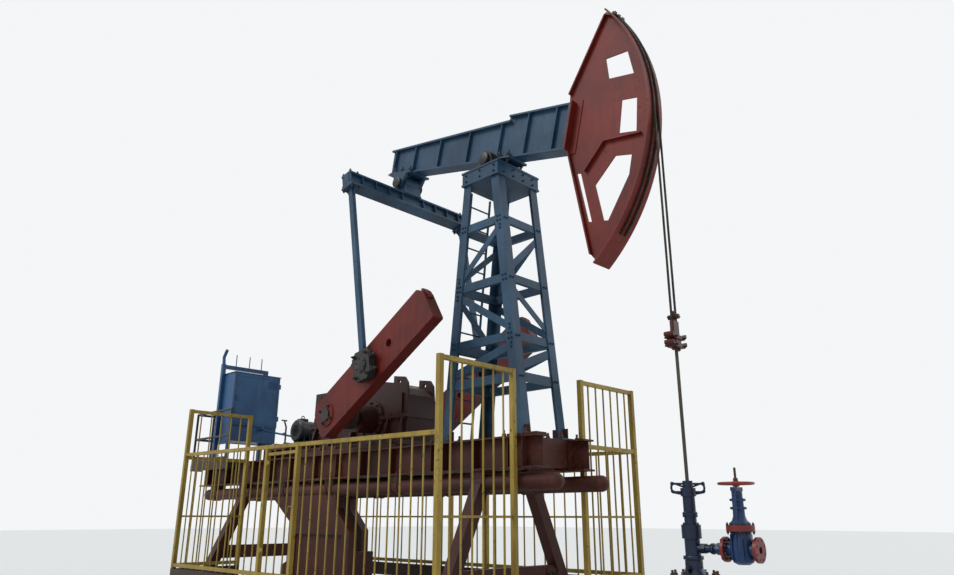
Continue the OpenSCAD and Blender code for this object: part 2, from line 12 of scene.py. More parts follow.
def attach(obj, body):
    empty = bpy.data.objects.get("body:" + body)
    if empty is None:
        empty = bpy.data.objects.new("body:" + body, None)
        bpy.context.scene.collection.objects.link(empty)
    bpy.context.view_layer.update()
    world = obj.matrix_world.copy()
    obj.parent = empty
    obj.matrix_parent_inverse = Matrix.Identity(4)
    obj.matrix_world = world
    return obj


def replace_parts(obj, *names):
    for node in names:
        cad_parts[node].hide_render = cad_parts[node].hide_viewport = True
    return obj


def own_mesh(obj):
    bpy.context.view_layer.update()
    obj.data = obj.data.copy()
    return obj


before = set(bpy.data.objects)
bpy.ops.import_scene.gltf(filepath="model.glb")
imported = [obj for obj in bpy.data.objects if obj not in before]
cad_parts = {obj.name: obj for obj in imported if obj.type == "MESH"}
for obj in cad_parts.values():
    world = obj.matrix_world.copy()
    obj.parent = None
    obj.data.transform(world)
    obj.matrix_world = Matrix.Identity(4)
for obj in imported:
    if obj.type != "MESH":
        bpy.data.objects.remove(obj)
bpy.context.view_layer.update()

# Places that several sections share
sides = (-1, 1)
up, down, along_x, along_y = (0, 0, 1), (0, 0, -1), (1, 0, 0), (0, 1, 0)
# the frame: the rails' distance from the middle, the pipes' height, the rails' top and the tower's middle
rail_y, pipe_z, frame_top, tower_x = 0.43, 1.775, 2.3, 1.945
# in X and Z: the beam's pivot, its tail bearing, the cranks' shaft, the gearbox's fast shaft and the motor's
pivot_x, pivot_z = tower_x, 6.16
tail_x, tail_z = -0.105, 6.53
slow_x, slow_z = -0.425, 2.76
ix, iz = -1.185, 2.96
mx, mz = -2.675, 2.79
# the well's middle, the gate valve's, and the height of the bore between them
wx, vx, bore_z = 4.459, 4.969, 1.11

# Camera
# A hand-held camera at eye height on the wellhead side, looking up at the horse head, as solved from the
# perspective of the frame, the beam and the fence.
bpy.ops.object.select_all(action="DESELECT")
bpy.ops.object.camera_add(location=(8.215, -6.89, 1.4),
                          rotation=(math.radians(107.6), math.radians(-0.1), math.radians(44.3)))
camera = bpy.context.object
camera.data.sensor_width = 36.0
camera.data.lens = 27.28
camera.data.clip_end = 200
bpy.context.scene.camera = camera

# Studio floor and light
# A plain pale floor and an even white surround, with one large soft key from high on the camera's left and a
# weak rim light from behind. The surround is white to the camera and to gloss, and plain light to the rest.


def linear(hexa):
    """sRGB hex to linear RGBA."""
    out = []
    for i in (0, 2, 4):
        c = int(hexa[i:i + 2], 16) / 255
        out.append(c / 12.92 if c <= 0.04045 else ((c + 0.055) / 1.055) ** 2.4)
    return (*out, 1.0)


def node(tree, kind, settings=None, links=None):
    """Adds a node, sets its properties or sockets, and links sockets of it from other nodes' outputs."""
    n = tree.nodes.new(kind)
    for key, value in (settings or {}).items():
        if isinstance(key, int) or key in n.inputs:
            n.inputs[key].default_value = value
        else:
            setattr(n, key, value)
    for key, source in (links or {}).items():
        tree.links.new(source, n.inputs[key])
    return n


world = bpy.data.worlds.new("surround")
bpy.context.scene.world = world
world.use_nodes = True
sky = world.node_tree
sky.nodes.clear()
path = node(sky, "ShaderNodeLightPath")
seen = node(sky, "ShaderNodeMath", {"operation": "MAXIMUM"},
            {0: path.outputs["Is Camera Ray"], 1: path.outputs["Is Glossy Ray"]})
plain = node(sky, "ShaderNodeBackground", {"Color": linear("eef1f5"), "Strength": 0.72})
white = node(sky, "ShaderNodeBackground", {"Color": linear("f4f6f8"), "Strength": 1.0})
both_ways = node(sky, "ShaderNodeMixShader", {},
                 {0: seen.outputs[0], 1: plain.outputs[0], 2: white.outputs[0]})
node(sky, "ShaderNodeOutputWorld", {}, {"Surface": both_ways.outputs[0]})

bpy.ops.mesh.primitive_plane_add(size=160, location=(0, 0, 0))
floor = bpy.context.object
floor.name = "studio_floor"
floor_paint = bpy.data.materials.new("pale_floor")
floor_paint.use_nodes = True
floor_skin = floor_paint.node_tree.nodes["Principled BSDF"]
floor_skin.inputs["Base Color"].default_value = linear("dcdedd")
floor_skin.inputs["Roughness"].default_value = 0.9
floor.data.materials.append(floor_paint)

bpy.ops.object.light_add(type="SUN", rotation=(math.radians(48), math.radians(6), math.radians(-28)))
key = bpy.context.object
key.data.energy = 1.5
key.data.angle = math.radians(25)
bpy.ops.object.light_add(type="SUN", rotation=(math.radians(60), 0, math.radians(150)))
rim = bpy.context.object
rim.data.energy = 0.5
rim.data.angle = math.radians(40)
bpy.context.scene.view_settings.view_transform = "Standard"

# Splayed legs, pier and foot plates
# Hot-rolled plate and section, brush-painted in oxide primer that has gone dark with crude oil and dust.
# The legs are welded to foot plates, which are bolted down with four anchors each.


def painted(name, paint, faded, rust, dirt, rusting, dusty, roughness):
    """Brushed paint on steel plate: sun-faded patches, streaks that run down, rust where it has chipped.

    Rusting and dusty say how much rust and dirt there is, from 0 to 1. Roughness is that of sound paint.
    """
    m = bpy.data.materials.new(name)
    m.use_nodes = True
    t = m.node_tree
    skin = t.nodes["Principled BSDF"]
    here = node(t, "ShaderNodeTexCoord")
    at_object = {"Vector": here.outputs["Object"]}
    # fading in patches of about 0.7 m
    patch = node(t, "ShaderNodeTexNoise", {"Scale": 1.4, "Detail": 6.0, "Roughness": 0.62}, at_object)
    fade = node(t, "ShaderNodeMapRange", {1: 0.38, 2: 0.66}, {0: patch.outputs["Fac"]})
    coat = node(t, "ShaderNodeMix", {"data_type": "RGBA", 6: linear(paint), 7: linear(faded)},
                {0: fade.outputs[0]})
    # runs of dirt, about 80 mm wide and 0.6 m long, drawn down the faces
    tall = node(t, "ShaderNodeMapping", {"Scale": (13.0, 13.0, 1.6)}, at_object)
    run = node(t, "ShaderNodeTexNoise", {"Scale": 1.0, "Detail": 4.0, "Roughness": 0.55},
               {"Vector": tall.outputs[0]})
    runs = node(t, "ShaderNodeMapRange", {1: 0.5, 2: 0.74, 4: dusty}, {0: run.outputs["Fac"]})
    stained = node(t, "ShaderNodeMix", {"data_type": "RGBA", 7: linear(dirt)},
                   {0: runs.outputs[0], 6: coat.outputs[2]})
    # chips and rust blooms of 10 to 40 mm
    bloom = node(t, "ShaderNodeTexNoise",
                 {"Scale": 24.0, "Detail": 7.0, "Roughness": 0.68, "Distortion": 0.4}, at_object)
    where = node(t, "ShaderNodeMath", {"operation": "MULTIPLY_ADD", 1: 0.35},
                 {0: patch.outputs["Fac"], 2: bloom.outputs["Fac"]})
    chips = node(t, "ShaderNodeMapRange", {1: 0.86 - 0.14 * rusting, 2: 0.93 - 0.14 * rusting},
                 {0: where.outputs[0]})
    rusty = node(t, "ShaderNodeMix", {"data_type": "RGBA", 7: linear(rust)},
                 {0: chips.outputs[0], 6: stained.outputs[2]})
    t.links.new(rusty.outputs[2], skin.inputs["Base Color"])
    rough = node(t, "ShaderNodeMapRange", {3: roughness, 4: 0.88}, {0: chips.outputs[0]})
    t.links.new(rough.outputs[0], skin.inputs["Roughness"])
    grit = node(t, "ShaderNodeMath", {"operation": "MULTIPLY_ADD", 1: -0.8},
                {0: chips.outputs[0], 2: bloom.outputs["Fac"]})
    uneven = node(t, "ShaderNodeBump", {"Strength": 0.35, "Distance": 0.004}, {"Height": grit.outputs[0]})
    t.links.new(uneven.outputs[0], skin.inputs["Normal"])
    skin.inputs["Specular IOR Level"].default_value = 0.3
    return m


def dress(name, material):
    """A CAD node keeps its mesh and gets its finish."""
    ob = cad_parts[name]
    ob.data.materials.clear()
    ob.data.materials.append(material)


oxide_primer = painted("oxide_primer_oiled", "30110a", "451b11", "55301a", "1c120e", 0.7, 0.45, 0.6)
for name in ("base_legs", "skid_pipes"):
    dress(name, oxide_primer)


def deselect():
    """Clears the selection."""
    bpy.ops.object.select_all(action="DESELECT")


def pick(ob):
    """Makes a piece the only selected one, and the active one."""
    deselect()
    ob.select_set(True)
    bpy.context.view_layer.objects.active = ob


def solid(name, verts, edges, faces):
    """A new picked piece of given points, edges and faces."""
    mesh = bpy.data.meshes.new(name)
    mesh.from_pydata(verts, edges, faces)
    ob = bpy.data.objects.new(name, mesh)
    bpy.context.collection.objects.link(ob)
    pick(ob)
    return ob


def edit(*steps):
    """Runs mesh operators, each with its settings, on all of the active piece."""
    bpy.ops.object.mode_set(mode="EDIT")
    for operator, settings in steps:
        bpy.ops.mesh.select_all(action="SELECT")
        operator(**settings)
    bpy.ops.object.mode_set(mode="OBJECT")


def eased(edge):
    """The step that bevels all edges."""
    return (bpy.ops.mesh.bevel, {"offset": edge, "segments": 1})


outward = (bpy.ops.mesh.normals_make_consistent, {"inside": False})


def cylinder(r, length, corners, place, turn=(0, 0, 0)):
    """A cylinder about a place, along Z unless it is turned."""
    deselect()
    bpy.ops.mesh.primitive_cylinder_add(vertices=corners, radius=r, depth=length, location=place,
                                        rotation=turn)
    return bpy.context.object


def aimed(spot, way):
    """The matrix that puts a piece at a place, with its Z axis in a direction."""
    return Matrix.Translation(Vector(spot)) @ Vector(way).to_track_quat("Z", "Y").to_matrix().to_4x4()


def settle(ob, name, body, material, smooth=35):
    """Applies the place, names the piece, gives its finish and lets it ride."""
    pick(ob)
    bpy.ops.object.transform_apply(location=True, rotation=True, scale=True)
    if smooth:
        bpy.ops.object.shade_smooth_by_angle(angle=math.radians(smooth))
    ob.name = name
    ob.data.name = name
    ob.data.materials.clear()
    ob.data.materials.append(material)
    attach(ob, body)
    return ob


def joined(parts):
    """Joins separate meshes into the first."""
    deselect()
    for p in parts:
        p.select_set(True)
    bpy.context.view_layer.objects.active = parts[0]
    if len(parts) > 1:
        bpy.ops.object.join()
    return bpy.context.object


def repeated(model, spots):
    """Copies a model to every place and direction of its Z axis, each with its own mesh, and joins them."""
    copies = []
    for spot, way in spots:
        c = model.copy()
        c.data = model.data.copy()
        bpy.context.collection.objects.link(c)
        c.matrix_world = aimed(spot, way)
        copies.append(c)
    bpy.data.objects.remove(model)
    return joined(copies)


def hex_bolt(across, proud=0.4):
    """A hexagon head or nut on its washer, with the thread's end above it, standing on Z = 0."""
    parts = [cylinder(across * 0.66, across * 0.14, 14, (0, 0, across * 0.07)),
             cylinder(across * 0.577, across * 0.66, 6, (0, 0, across * 0.47))]
    edit(eased(across * 0.05))
    if proud:
        parts.append(cylinder(across * 0.31, across * proud, 10, (0, 0, across * (0.8 + proud / 2))))
    return joined(parts)


def bolts(name, spots, across, body, material, proud=0.4):
    """One piece of equal bolts at every place and direction."""
    return settle(repeated(hex_bolt(across, proud), spots), name, body, material)


greasy_steel = painted("greasy_bolt_steel", "2a2522", "3c342c", "5a3a20", "191512", 0.9, 0.4, 0.4)
anchors = [((x + i * 0.13, s * y + j * 0.13, 0.025), up)
           for x, y in ((-3.555, 1.25), (2.015, 1.29)) for s in sides for i in sides for j in sides]
anchors += [((x, s * rail_y + j * 0.105, 0.025), up) for x in (-1.58, -1.1, -0.63) for s in sides
            for j in sides]
bolts("foot_anchors", anchors, 0.036, "base", greasy_steel)

# Main frame
# Two rolled I-sections on saddles that lie on the long pipes. U-bolts hold the pipes up to the saddles, and
# web stiffeners stand under every load: the tower, the gearbox and the motor.
dress("main_frame", oxide_primer)


def plate(x0, x1, y0, y1, z0, z1, edge=0.003):
    """A flat bar or plate between two opposite corners, with its edges eased."""
    deselect()
    bpy.ops.mesh.primitive_cube_add(size=1, location=((x0 + x1) / 2, (y0 + y1) / 2, (z0 + z1) / 2))
    ob = bpy.context.object
    ob.scale = (abs(x1 - x0), abs(y1 - y0), abs(z1 - z0))
    bpy.ops.object.transform_apply(location=False, rotation=False, scale=True)
    if edge:
        edit(eased(edge))
    return ob


def cheek(outline, y0, y1, edge=0.003):
    """A plate cut to an outline in X and Z, between two values of Y."""
    ob = solid("cheek", [(x, y0, z) for x, z in outline], [], [list(range(len(outline)))])
    steps = [(bpy.ops.mesh.extrude_region_move, {"TRANSFORM_OT_translate": {"value": (0, y1 - y0, 0)}}),
             outward]
    edit(*steps, *([eased(edge)] if edge else []))
    return ob


def cut(ob, cutters):
    """Cuts solids out of a piece."""
    tool = joined(cutters)
    pick(ob)
    m = ob.modifiers.new("cut", "BOOLEAN")
    m.operation = "DIFFERENCE"
    m.object = tool
    bpy.ops.object.modifier_apply(modifier=m.name)
    bpy.data.objects.remove(tool)
    return ob


# the pier's two flame-cut cheeks, notched over the pipes; the far one is the shorter. Their outer faces are
# let in, and a cross beam ties them low down
front_edge = {-1: [(-0.885, 1.708), (-0.875, 1.51), (-0.525, 1.2), (-0.495, 0.025)],
              1: [(-1.72, 1.708), (-1.71, 1.51), (-1.38, 1.2), (-1.35, 0.025)]}
pier = []
for s in sides:
    outline = [(-2.655, 1.708)] + front_edge[s]
    outline += [(-2.235, 0.025), (-2.235, 0.69), (-2.088, 0.75), (-2.088, 1.33)]
    block = cheek(outline, *sorted((s * 0.36, s * 0.5)), 0.004)
    hollow = plate(-1.955, front_edge[s][2][0] - 0.17, s * 0.45, s * 0.52, 0.16, 1.15, 0)
    pipe = cylinder(0.0952, 2.6, 48, (-1.7, s * rail_y, pipe_z), (0, math.pi / 2, 0))
    pier.append(cut(block, [hollow, pipe]))
    pier.append(plate(-2.305, -0.435, s * 0.3, s * 0.56, 0.0, 0.025, 0.002))
pier.append(plate(-1.175, -1.055, -0.36, 0.36, 0.5, 0.9, 0.004))
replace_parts(settle(joined(pier), "pier_cheeks", "base", oxide_primer, 0), "gearbox_pier")
# a pair of stiffeners at each place along both rails
stiffened = (-4.95, -4.2, -3.3, -2.75, -2.2, -1.5, -0.9, -0.3, 0.35, 1.18, 1.4, tower_x, 2.5, 2.72)
stiffeners = [plate(x - 0.006, x + 0.006, y + side * 0.009, y + side * 0.103, 1.948, 2.277, 0)
              for x in stiffened for y in (-rail_y, rail_y) for side in sides]
settle(joined(stiffeners), "web_stiffeners", "base", oxide_primer, 0)
# each saddle's place and the half distance between its two hoops
saddle_x = ((-4.655, 0.065), (-3.655, 0.105), (-2.355, 0.065), (-1.055, 0.065), (0.445, 0.065),
            (2.015, 0.105))


def bar(points, d, corners=12):
    """A round bar or tube along points, with closed ends."""
    line = bpy.data.curves.new("bar", "CURVE")
    line.dimensions = "3D"
    line.bevel_depth = d / 2
    line.bevel_resolution = max(0, corners // 4 - 1)
    line.use_fill_caps = True
    s = line.splines.new("POLY")
    s.points.add(len(points) - 1)
    for p, q in zip(s.points, points):
        p.co = (*q, 1)
    ob = bpy.data.objects.new("bar", line)
    bpy.context.collection.objects.link(ob)
    pick(ob)
    bpy.ops.object.convert(target="MESH")
    return bpy.context.object


hoops, hoop_nuts, hoop_r = [], [], 0.103
for x, apart in saddle_x:
    for s in sides:
        for dx in (-apart, apart):
            turns = [math.pi * (1 + i / 12) for i in range(13)]
            arc = [(x + dx, s * rail_y + hoop_r * math.cos(a), pipe_z + hoop_r * math.sin(a)) for a in turns]
            tips = [(x + dx, s * rail_y + side * hoop_r, 1.944) for side in sides]
            hoops.append(bar([tips[0]] + arc + [tips[1]], 0.016, 8))
            hoop_nuts += [((x + dx, s * rail_y + side * hoop_r, 1.947), up) for side in sides]
settle(joined(hoops), "pipe_hoops", "base", greasy_steel)
bolts("hoop_nuts", hoop_nuts, 0.026, "base", greasy_steel)
# corner plates where a tie meets its legs, each bolted through with three
corner_plates = []
corner_bolts = []
for x, y, z in ((-3.602, 0.854, 0.95), (2.015, 0.96, 0.82)):
    for s in sides:
        corner_plates.append(plate(x + 0.051, x + 0.063, s * (y - 0.3), s * (y - 0.06), z - 0.17, z - 0.03))
        corner_bolts += [((x + 0.063, s * (y - d), z - 0.1), (1, 0, 0)) for d in (0.12, 0.19, 0.26)]
settle(joined(corner_plates), "tie_corner_plates", "base", oxide_primer, 0)
bolts("tie_corner_bolts", corner_bolts, 0.032, "base", greasy_steel)

# Tower
# Rolled angles, legs leaning in along X, tied by level angles and crossed by flat diagonals, all bolted. The
# paint is a slate blue that has chalked on the weather side. A ladder runs up the back.
slate_paint = painted("slate_blue_paint", "1b364c", "2b4d66", "4a3020", "12181e", 0.4, 0.42, 0.55)
for name in ("tower_legs", "tower_bracing", "tower_cap", "ladder"):
    dress(name, slate_paint)
lean = 0.4 / 3.712


def half(z):
    """Half the tower's width along X at a height."""
    return 0.7 - lean * (z - frame_top)


levels = (3.03, 3.54, 4.32, 5.16)
leg_y = 0.4
side_bolts, end_bolts = [], []
for z in levels:
    for s in sides:
        for e in sides:
            for dz in (-0.032, 0.032):
                for dx in (0.045, 0.095):
                    side_bolts.append(((tower_x + e * (half(z + dz) - dx), s * leg_y, z + dz), (0, s, 0)))
            for dy in (0.045, 0.095):
                end_bolts.append(((tower_x + e * half(z), s * (leg_y - dy), z), (e, 0, lean)))
for z0, z1, way in ((levels[0], levels[1], 1), (levels[1], levels[2], -1), (levels[2], levels[3], 1)):
    for s in sides:
        for z, e in ((z0 + 0.12, -way), (z1 - 0.12, way)):
            spot_x = tower_x + e * (half(z) - 0.06)
            side_bolts += [((spot_x, s * leg_y, z + dz), (0, s, 0)) for dz in (-0.025, 0.025)]
bolts("tower_bolts", side_bolts + end_bolts, 0.024, "base", slate_paint, 0.3)
feet = [(tower_x + e * 0.64, e, s) for e in sides for s in sides]
foot_spots = []
for x, e, s in feet:
    foot_spots += [((x + i * 0.105, s * 0.34 + j * 0.095, 2.32), up) for i in sides for j in sides
                   if not (i == e and j == 1)]
    foot_spots += [((x + e * 0.155, s * 0.49, frame_top), up), ((x - e * 0.165, s * 0.5, frame_top), up)]
bolts("tower_foot_nuts", foot_spots, 0.046, "base", greasy_steel, 0.9)
knees = [plate(x - 0.12, x + 0.12, s * 0.36 - 0.006, s * 0.36 + 0.006, 2.32, 2.44, 0.002) for x, e, s in feet]
knees += [plate(x - 0.1, x + 0.05, -0.545, -0.36, 2.3005, 2.322) for x in (2.9, 2.6)]
settle(joined(knees), "tower_foot_knees", "base", oxide_primer, 0)

# Saddle bearings
# Two cast pillow blocks on the tower's top box, with split caps and four studs each.
bearing_iron = painted("bearing_casting_greasy", "191a1b", "2b2a28", "3d2a1c", "0f0e0d", 0.35, 0.4, 0.38)
dress("saddle_bearings", bearing_iron)
pillow_studs = [((tower_x + i * 0.178, s * (0.265 + j * 0.035), 6.052), up)
                for i in sides for s in sides for j in sides]
bolts("pillow_studs", pillow_studs, 0.038, "base", greasy_steel)
box_bolts = [((tower_x + i * 0.26, s * 0.425, 5.905 + j * 0.045), (0, s, 0))
             for i in (-1, 0, 1) for s in sides for j in sides]
box_bolts += [((tower_x + e * 0.335, y, 5.905 + j * 0.045), (e, 0, 0))
              for e in sides for y in (-0.3, -0.1, 0.1, 0.3) for j in sides]
bolts("cap_box_bolts", box_bolts, 0.026, "base", slate_paint, 0.3)

# Gearbox
# A two-stage reducer in a cast and welded case, split at the shaft line and bolted all round. It has bearing
# caps with ring bolts, a covered inspection hole and a breather on top, and sits under a film of oil.
gearbox_iron = painted("gearbox_paint_oily", "270d08", "391610", "4b2616", "130c09", 0.4, 0.5, 0.5)
dress("gearbox", gearbox_iron)
dress("gearbox_feet", oxide_primer)
# the split flange's bolts keep clear of the two shafts
split = [x for x in [-1.985 + i * 0.1552 for i in range(16)] if not -0.73 < x < -0.12 and abs(x - ix) > 0.08]
flange_bolts = [((x, s * 0.284, z), way)
                for x in split for s in sides for z, way in ((2.79, up), (2.74, down))]
bolts("case_flange_bolts", flange_bolts, 0.028, "base", gearbox_iron)


def ring(x, z, y, r, count, side, turn=0.0):
    """Places on a ring about an axis along Y."""
    return [((x + r * math.cos(a), side * y, z + r * math.sin(a)), (0, side, 0))
            for a in [turn + 2 * math.pi * i / count for i in range(count)]]


def turned(profile, origin=(0, 0, 0), way=up, steps=40, closed=False):
    """Spins an outline of (radius, height) about an axis that starts at a point and runs a given way."""
    count = len(profile)
    edges = [(i, i + 1) for i in range(count - 1)] + ([(count - 1, 0)] if closed else [])
    ob = solid("turned", [(r, 0, h) for r, h in profile], edges, [])
    spin = {"steps": steps, "angle": 2 * math.pi, "center": (0, 0, 0), "axis": (0, 0, 1)}
    edit((bpy.ops.mesh.spin, spin), (bpy.ops.mesh.remove_doubles, {"threshold": 0.00005}), outward)
    ob.matrix_world = aimed(origin, way)
    return ob


slow_cap_bolts = sum([ring(slow_x, slow_z, 0.29, 0.242, 10, s, 0.31) for s in sides], [])
bolts("slow_shaft_cap_bolts", slow_cap_bolts, 0.034, "base", greasy_steel)
middle_x, middle_z = -0.805, 2.955
caps = [turned([(0.052, 0.0), (0.165, 0.0), (0.165, 0.014), (0.11, 0.02), (0.095, 0.034), (0.052, 0.034)],
               (ix, 0.5, iz), along_y, 36, True)]
cap_bolts = ring(ix, iz, 0.514, 0.145, 6, 1, 0.5)
for s in sides:
    caps.append(turned([(0.0, 0.0), (0.195, 0.0), (0.195, 0.014), (0.14, 0.02), (0.125, 0.034),
                        (0.0, 0.034)], (middle_x, s * 0.26, middle_z), (0, s, 0), 36))
    cap_bolts += ring(middle_x, middle_z, 0.274, 0.175, 8, s, 0.2)
settle(joined(caps), "shaft_caps", "base", gearbox_iron)
bolts("shaft_cap_bolts", cap_bolts, 0.024, "base", greasy_steel, 0.25)
hatch = plate(-0.93, -0.47, -0.19, 0.19, 3.33, 3.35, 0.004)
breather = turned([(0.0, 0.0), (0.032, 0.0), (0.032, 0.03), (0.016, 0.034), (0.016, 0.06), (0.036, 0.066),
                   (0.04, 0.095), (0.026, 0.112), (0.0, 0.114)], (-0.15, 0.0, 3.286), up, 24)
settle(joined([hatch, breather]), "inspection_hatch", "base", gearbox_iron)
hatch_bolts = [((-0.7 + i * 0.105, j * 0.165, 3.35), up) for i in (-2, -1, 0, 1, 2) for j in sides]
bolts("hatch_bolts", hatch_bolts, 0.022, "base", greasy_steel, 0.2)
foot_nuts = [((x, s * 0.44, 2.36), up) for x in (-1.85, -1.45, -1.05, -0.65, -0.25, 0.2) for s in sides]
bolts("gearbox_foot_nuts", foot_nuts, 0.05, "base", greasy_steel, 0.8)

# Motor
# A totally enclosed motor on slide rails: a ribbed cast body, dished end shields, a fan cowl with a barred
# grille at the near end, feet, a lifting eye and the terminal box that takes the conduit.
motor_paint = painted("motor_enamel_dusty", "1d2024", "30343a", "3a2a20", "221d18", 0.3, 0.6, 0.36)
# the case, its ribs except where the feet are, the end shield, the cowl and its grille
motor = [turned([(0.0, -0.085), (0.15, -0.085), (0.166, -0.07), (0.166, 0.262), (0.15, 0.278),
                 (0.0, 0.278)], (mx, 0, mz), along_y, 48)]
for a in [2 * math.pi * i / 36 for i in range(36)]:
    if not -2.3 < math.atan2(math.sin(a), math.cos(a)) < -0.85:
        fin = plate(-0.0028, 0.0028, -0.058, 0.248, 0.16, 0.188, 0)
        fin.matrix_world = Matrix.Translation((mx, 0, mz)) @ Matrix.Rotation(math.pi / 2 - a, 4, "Y")
        motor.append(fin)
motor.append(turned([(0.0, 0.345), (0.045, 0.345), (0.05, 0.33), (0.085, 0.322), (0.12, 0.3),
                     (0.176, 0.298), (0.182, 0.29), (0.182, 0.266), (0.15, 0.262)],
                    (mx, 0, mz), along_y, 48))
motor.append(turned([(0.15, -0.055), (0.186, -0.06), (0.188, -0.075), (0.184, -0.127), (0.16, -0.147),
                     (0.1, -0.15), (0.1, -0.145), (0.0, -0.145)], (mx, 0, mz), along_y, 48))
for dx in [i * 0.017 for i in range(-5, 6)]:
    dz = math.sqrt(0.0094 - dx ** 2)
    motor.append(bar([(mx + dx, -0.1475, mz - dz), (mx + dx, -0.1475, mz + dz)], 0.005, 8))
for i in sides:
    motor.append(plate(mx + i * 0.135 - 0.05, mx + i * 0.135 + 0.05, -0.075, 0.215, 2.56, 2.582, 0.003))
    for y in (-0.05, 0.06, 0.17):
        x = mx + i * 0.12
        motor.append(plate(x - 0.035, x + 0.02, y - 0.008, y + 0.008, 2.58, 2.7, 0.002))
# the terminal box with its cover, and the lifting eye on its pad
motor.append(plate(mx - 0.248, mx - 0.15, -0.015, 0.155, mz - 0.145, mz - 0.015, 0.012))
motor.append(plate(mx - 0.2495, mx - 0.242, -0.02, 0.16, mz - 0.15, mz - 0.01, 0.002))
motor.append(plate(mx - 0.12, mx + 0.02, -0.06, 0.09, mz + 0.15, mz + 0.215, 0.012))
bpy.ops.mesh.primitive_torus_add(location=(mx - 0.05, 0.015, mz + 0.236), rotation=(0, math.pi / 2, 0),
                                 major_radius=0.026, minor_radius=0.008, major_segments=24, minor_segments=10)
motor.append(bpy.context.object)
motor = settle(joined(motor), "ribbed_motor", "base", motor_paint)
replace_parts(motor, "motor")
dress("motor_base", oxide_primer)
foot_bolts = [((mx + i * 0.155, y, 2.582), up) for i in sides for y in (-0.055, 0.195)]
foot_bolts += [((mx + i * 0.27, s * 0.47, 2.5), up) for i in sides for s in sides]
bolts("motor_foot_bolts", foot_bolts, 0.034, "base", greasy_steel, 0.8)
shield_bolts = ring(mx, mz, 0.299, 0.165, 8, 1, 0.3)
bolts("motor_shield_bolts", shield_bolts, 0.016, "base", motor_paint, 0)

# Sheaves and belts
# Cast sheaves with four grooves each, turned bright where the belts run. The big one has a web with round
# lightening holes, and its shaft carries the brake drum on the near side. Black rubber V-belts, gone dusty.
sheave_iron = painted("sheave_iron_worn", "2b2a29", "474441", "5a3620", "1a1613", 0.6, 0.4, 0.4)


def grooves(r, y0, pitch, count, depth=0.016):
    """The outline of a grooved rim, running along its width."""
    out = [(r, y0 - 0.027)]
    for i in range(count):
        y = y0 + i * pitch
        out += [(r, y - 0.0105), (r - depth, y - 0.006), (r - depth, y + 0.006), (r, y + 0.0105)]
    return out + [(r, y0 + (count - 1) * pitch + 0.027)]


# the places of the belts along Y, and the two sheaves' rims
first_belt, belt_pitch, belt_count = 0.5535, 0.028, 4
big_r, small_r = 0.42, 0.11
rim = turned(grooves(big_r, first_belt, belt_pitch, belt_count)
             + [(0.375, 0.6645), (0.368, 0.62), (0.368, 0.585), (0.375, 0.5265)],
             (ix, 0, iz), along_y, 72, True)
web = turned([(0.09, 0.582), (0.372, 0.586), (0.372, 0.608), (0.09, 0.612)], (ix, 0, iz), along_y, 72, True)
holes = [(ix + 0.24 * math.cos(a), 0.6, iz + 0.24 * math.sin(a))
         for a in [math.radians(72 * i) for i in range(5)]]
web = cut(web, [cylinder(0.074, 0.2, 32, hole, (math.pi / 2, 0, 0)) for hole in holes])
hub = turned([(0.0445, 0.506), (0.08, 0.506), (0.094, 0.52), (0.094, 0.672), (0.08, 0.688),
              (0.0445, 0.688)], (ix, 0, iz), along_y, 40, True)
shaft = turned([(0.0, -0.539), (0.041, -0.539), (0.0449, -0.535), (0.0449, 0.685), (0.041, 0.689),
                (0.0, 0.689)], (ix, 0, iz), along_y, 40)
drum = turned([(0.045, -0.51), (0.08, -0.51), (0.082, -0.47), (0.136, -0.464), (0.142, -0.51),
               (0.15, -0.51), (0.15, -0.4), (0.142, -0.4), (0.136, -0.446), (0.082, -0.45),
               (0.08, -0.4), (0.045, -0.4)], (ix, 0, iz), along_y, 56, True)
big = settle(joined([rim, web, hub, shaft, drum]), "input_sheave_grooved", "input_shaft",
             sheave_iron)
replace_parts(big, "input_sheave")
small = turned(grooves(small_r, first_belt, belt_pitch, belt_count)
               + [(0.08, 0.6645), (0.03, 0.6645), (0.03, 0.5265), (0.08, 0.5265)],
               (mx, 0, mz), along_y, 48, True)
stub = turned([(0.0, 0.3505), (0.027, 0.3505), (0.0274, 0.352), (0.0274, 0.688), (0.025, 0.69),
               (0.0, 0.69)], (mx, 0, mz), along_y, 28)
key_bar = plate(mx - 0.007, mx + 0.007, 0.6, 0.685, mz + 0.024, mz + 0.0315, 0.001)
small = settle(joined([small, stub, key_bar]), "motor_sheave_grooved", "motor_shaft",
               sheave_iron)
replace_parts(small, "motor_sheave")


def two_tone(name, dark, light, scale, roughness, metallic=0.0):
    """A plain material that goes from one colour to another in specks."""
    m = bpy.data.materials.new(name)
    m.use_nodes = True
    t = m.node_tree
    skin = t.nodes["Principled BSDF"]
    here = node(t, "ShaderNodeTexCoord")
    specks = node(t, "ShaderNodeTexNoise", {"Scale": scale, "Detail": 5.0},
                  {"Vector": here.outputs["Object"]})
    tint = node(t, "ShaderNodeMix", {"data_type": "RGBA", 6: linear(dark), 7: linear(light)},
                {0: specks.outputs["Fac"]})
    t.links.new(tint.outputs[2], skin.inputs["Base Color"])
    skin.inputs["Roughness"].default_value = roughness
    skin.inputs["Metallic"].default_value = metallic
    return m


def embossed(m, kind, settings, strength):
    """Gives a material relief of 1 mm from a texture."""
    t = m.node_tree
    here = t.nodes["Texture Coordinate"]
    pattern = node(t, kind, settings, {"Vector": here.outputs["Object"]})
    relief = node(t, "ShaderNodeBump", {"Strength": strength, "Distance": 0.001},
                  {"Height": pattern.outputs["Fac"]})
    t.links.new(relief.outputs[0], t.nodes["Principled BSDF"].inputs["Normal"])


belt_rubber = two_tone("belt_rubber_dusty", "121212", "35302a", 14.0, 0.78)
embossed(belt_rubber, "ShaderNodeTexNoise", {"Scale": 600.0, "Detail": 2.0}, 0.2)
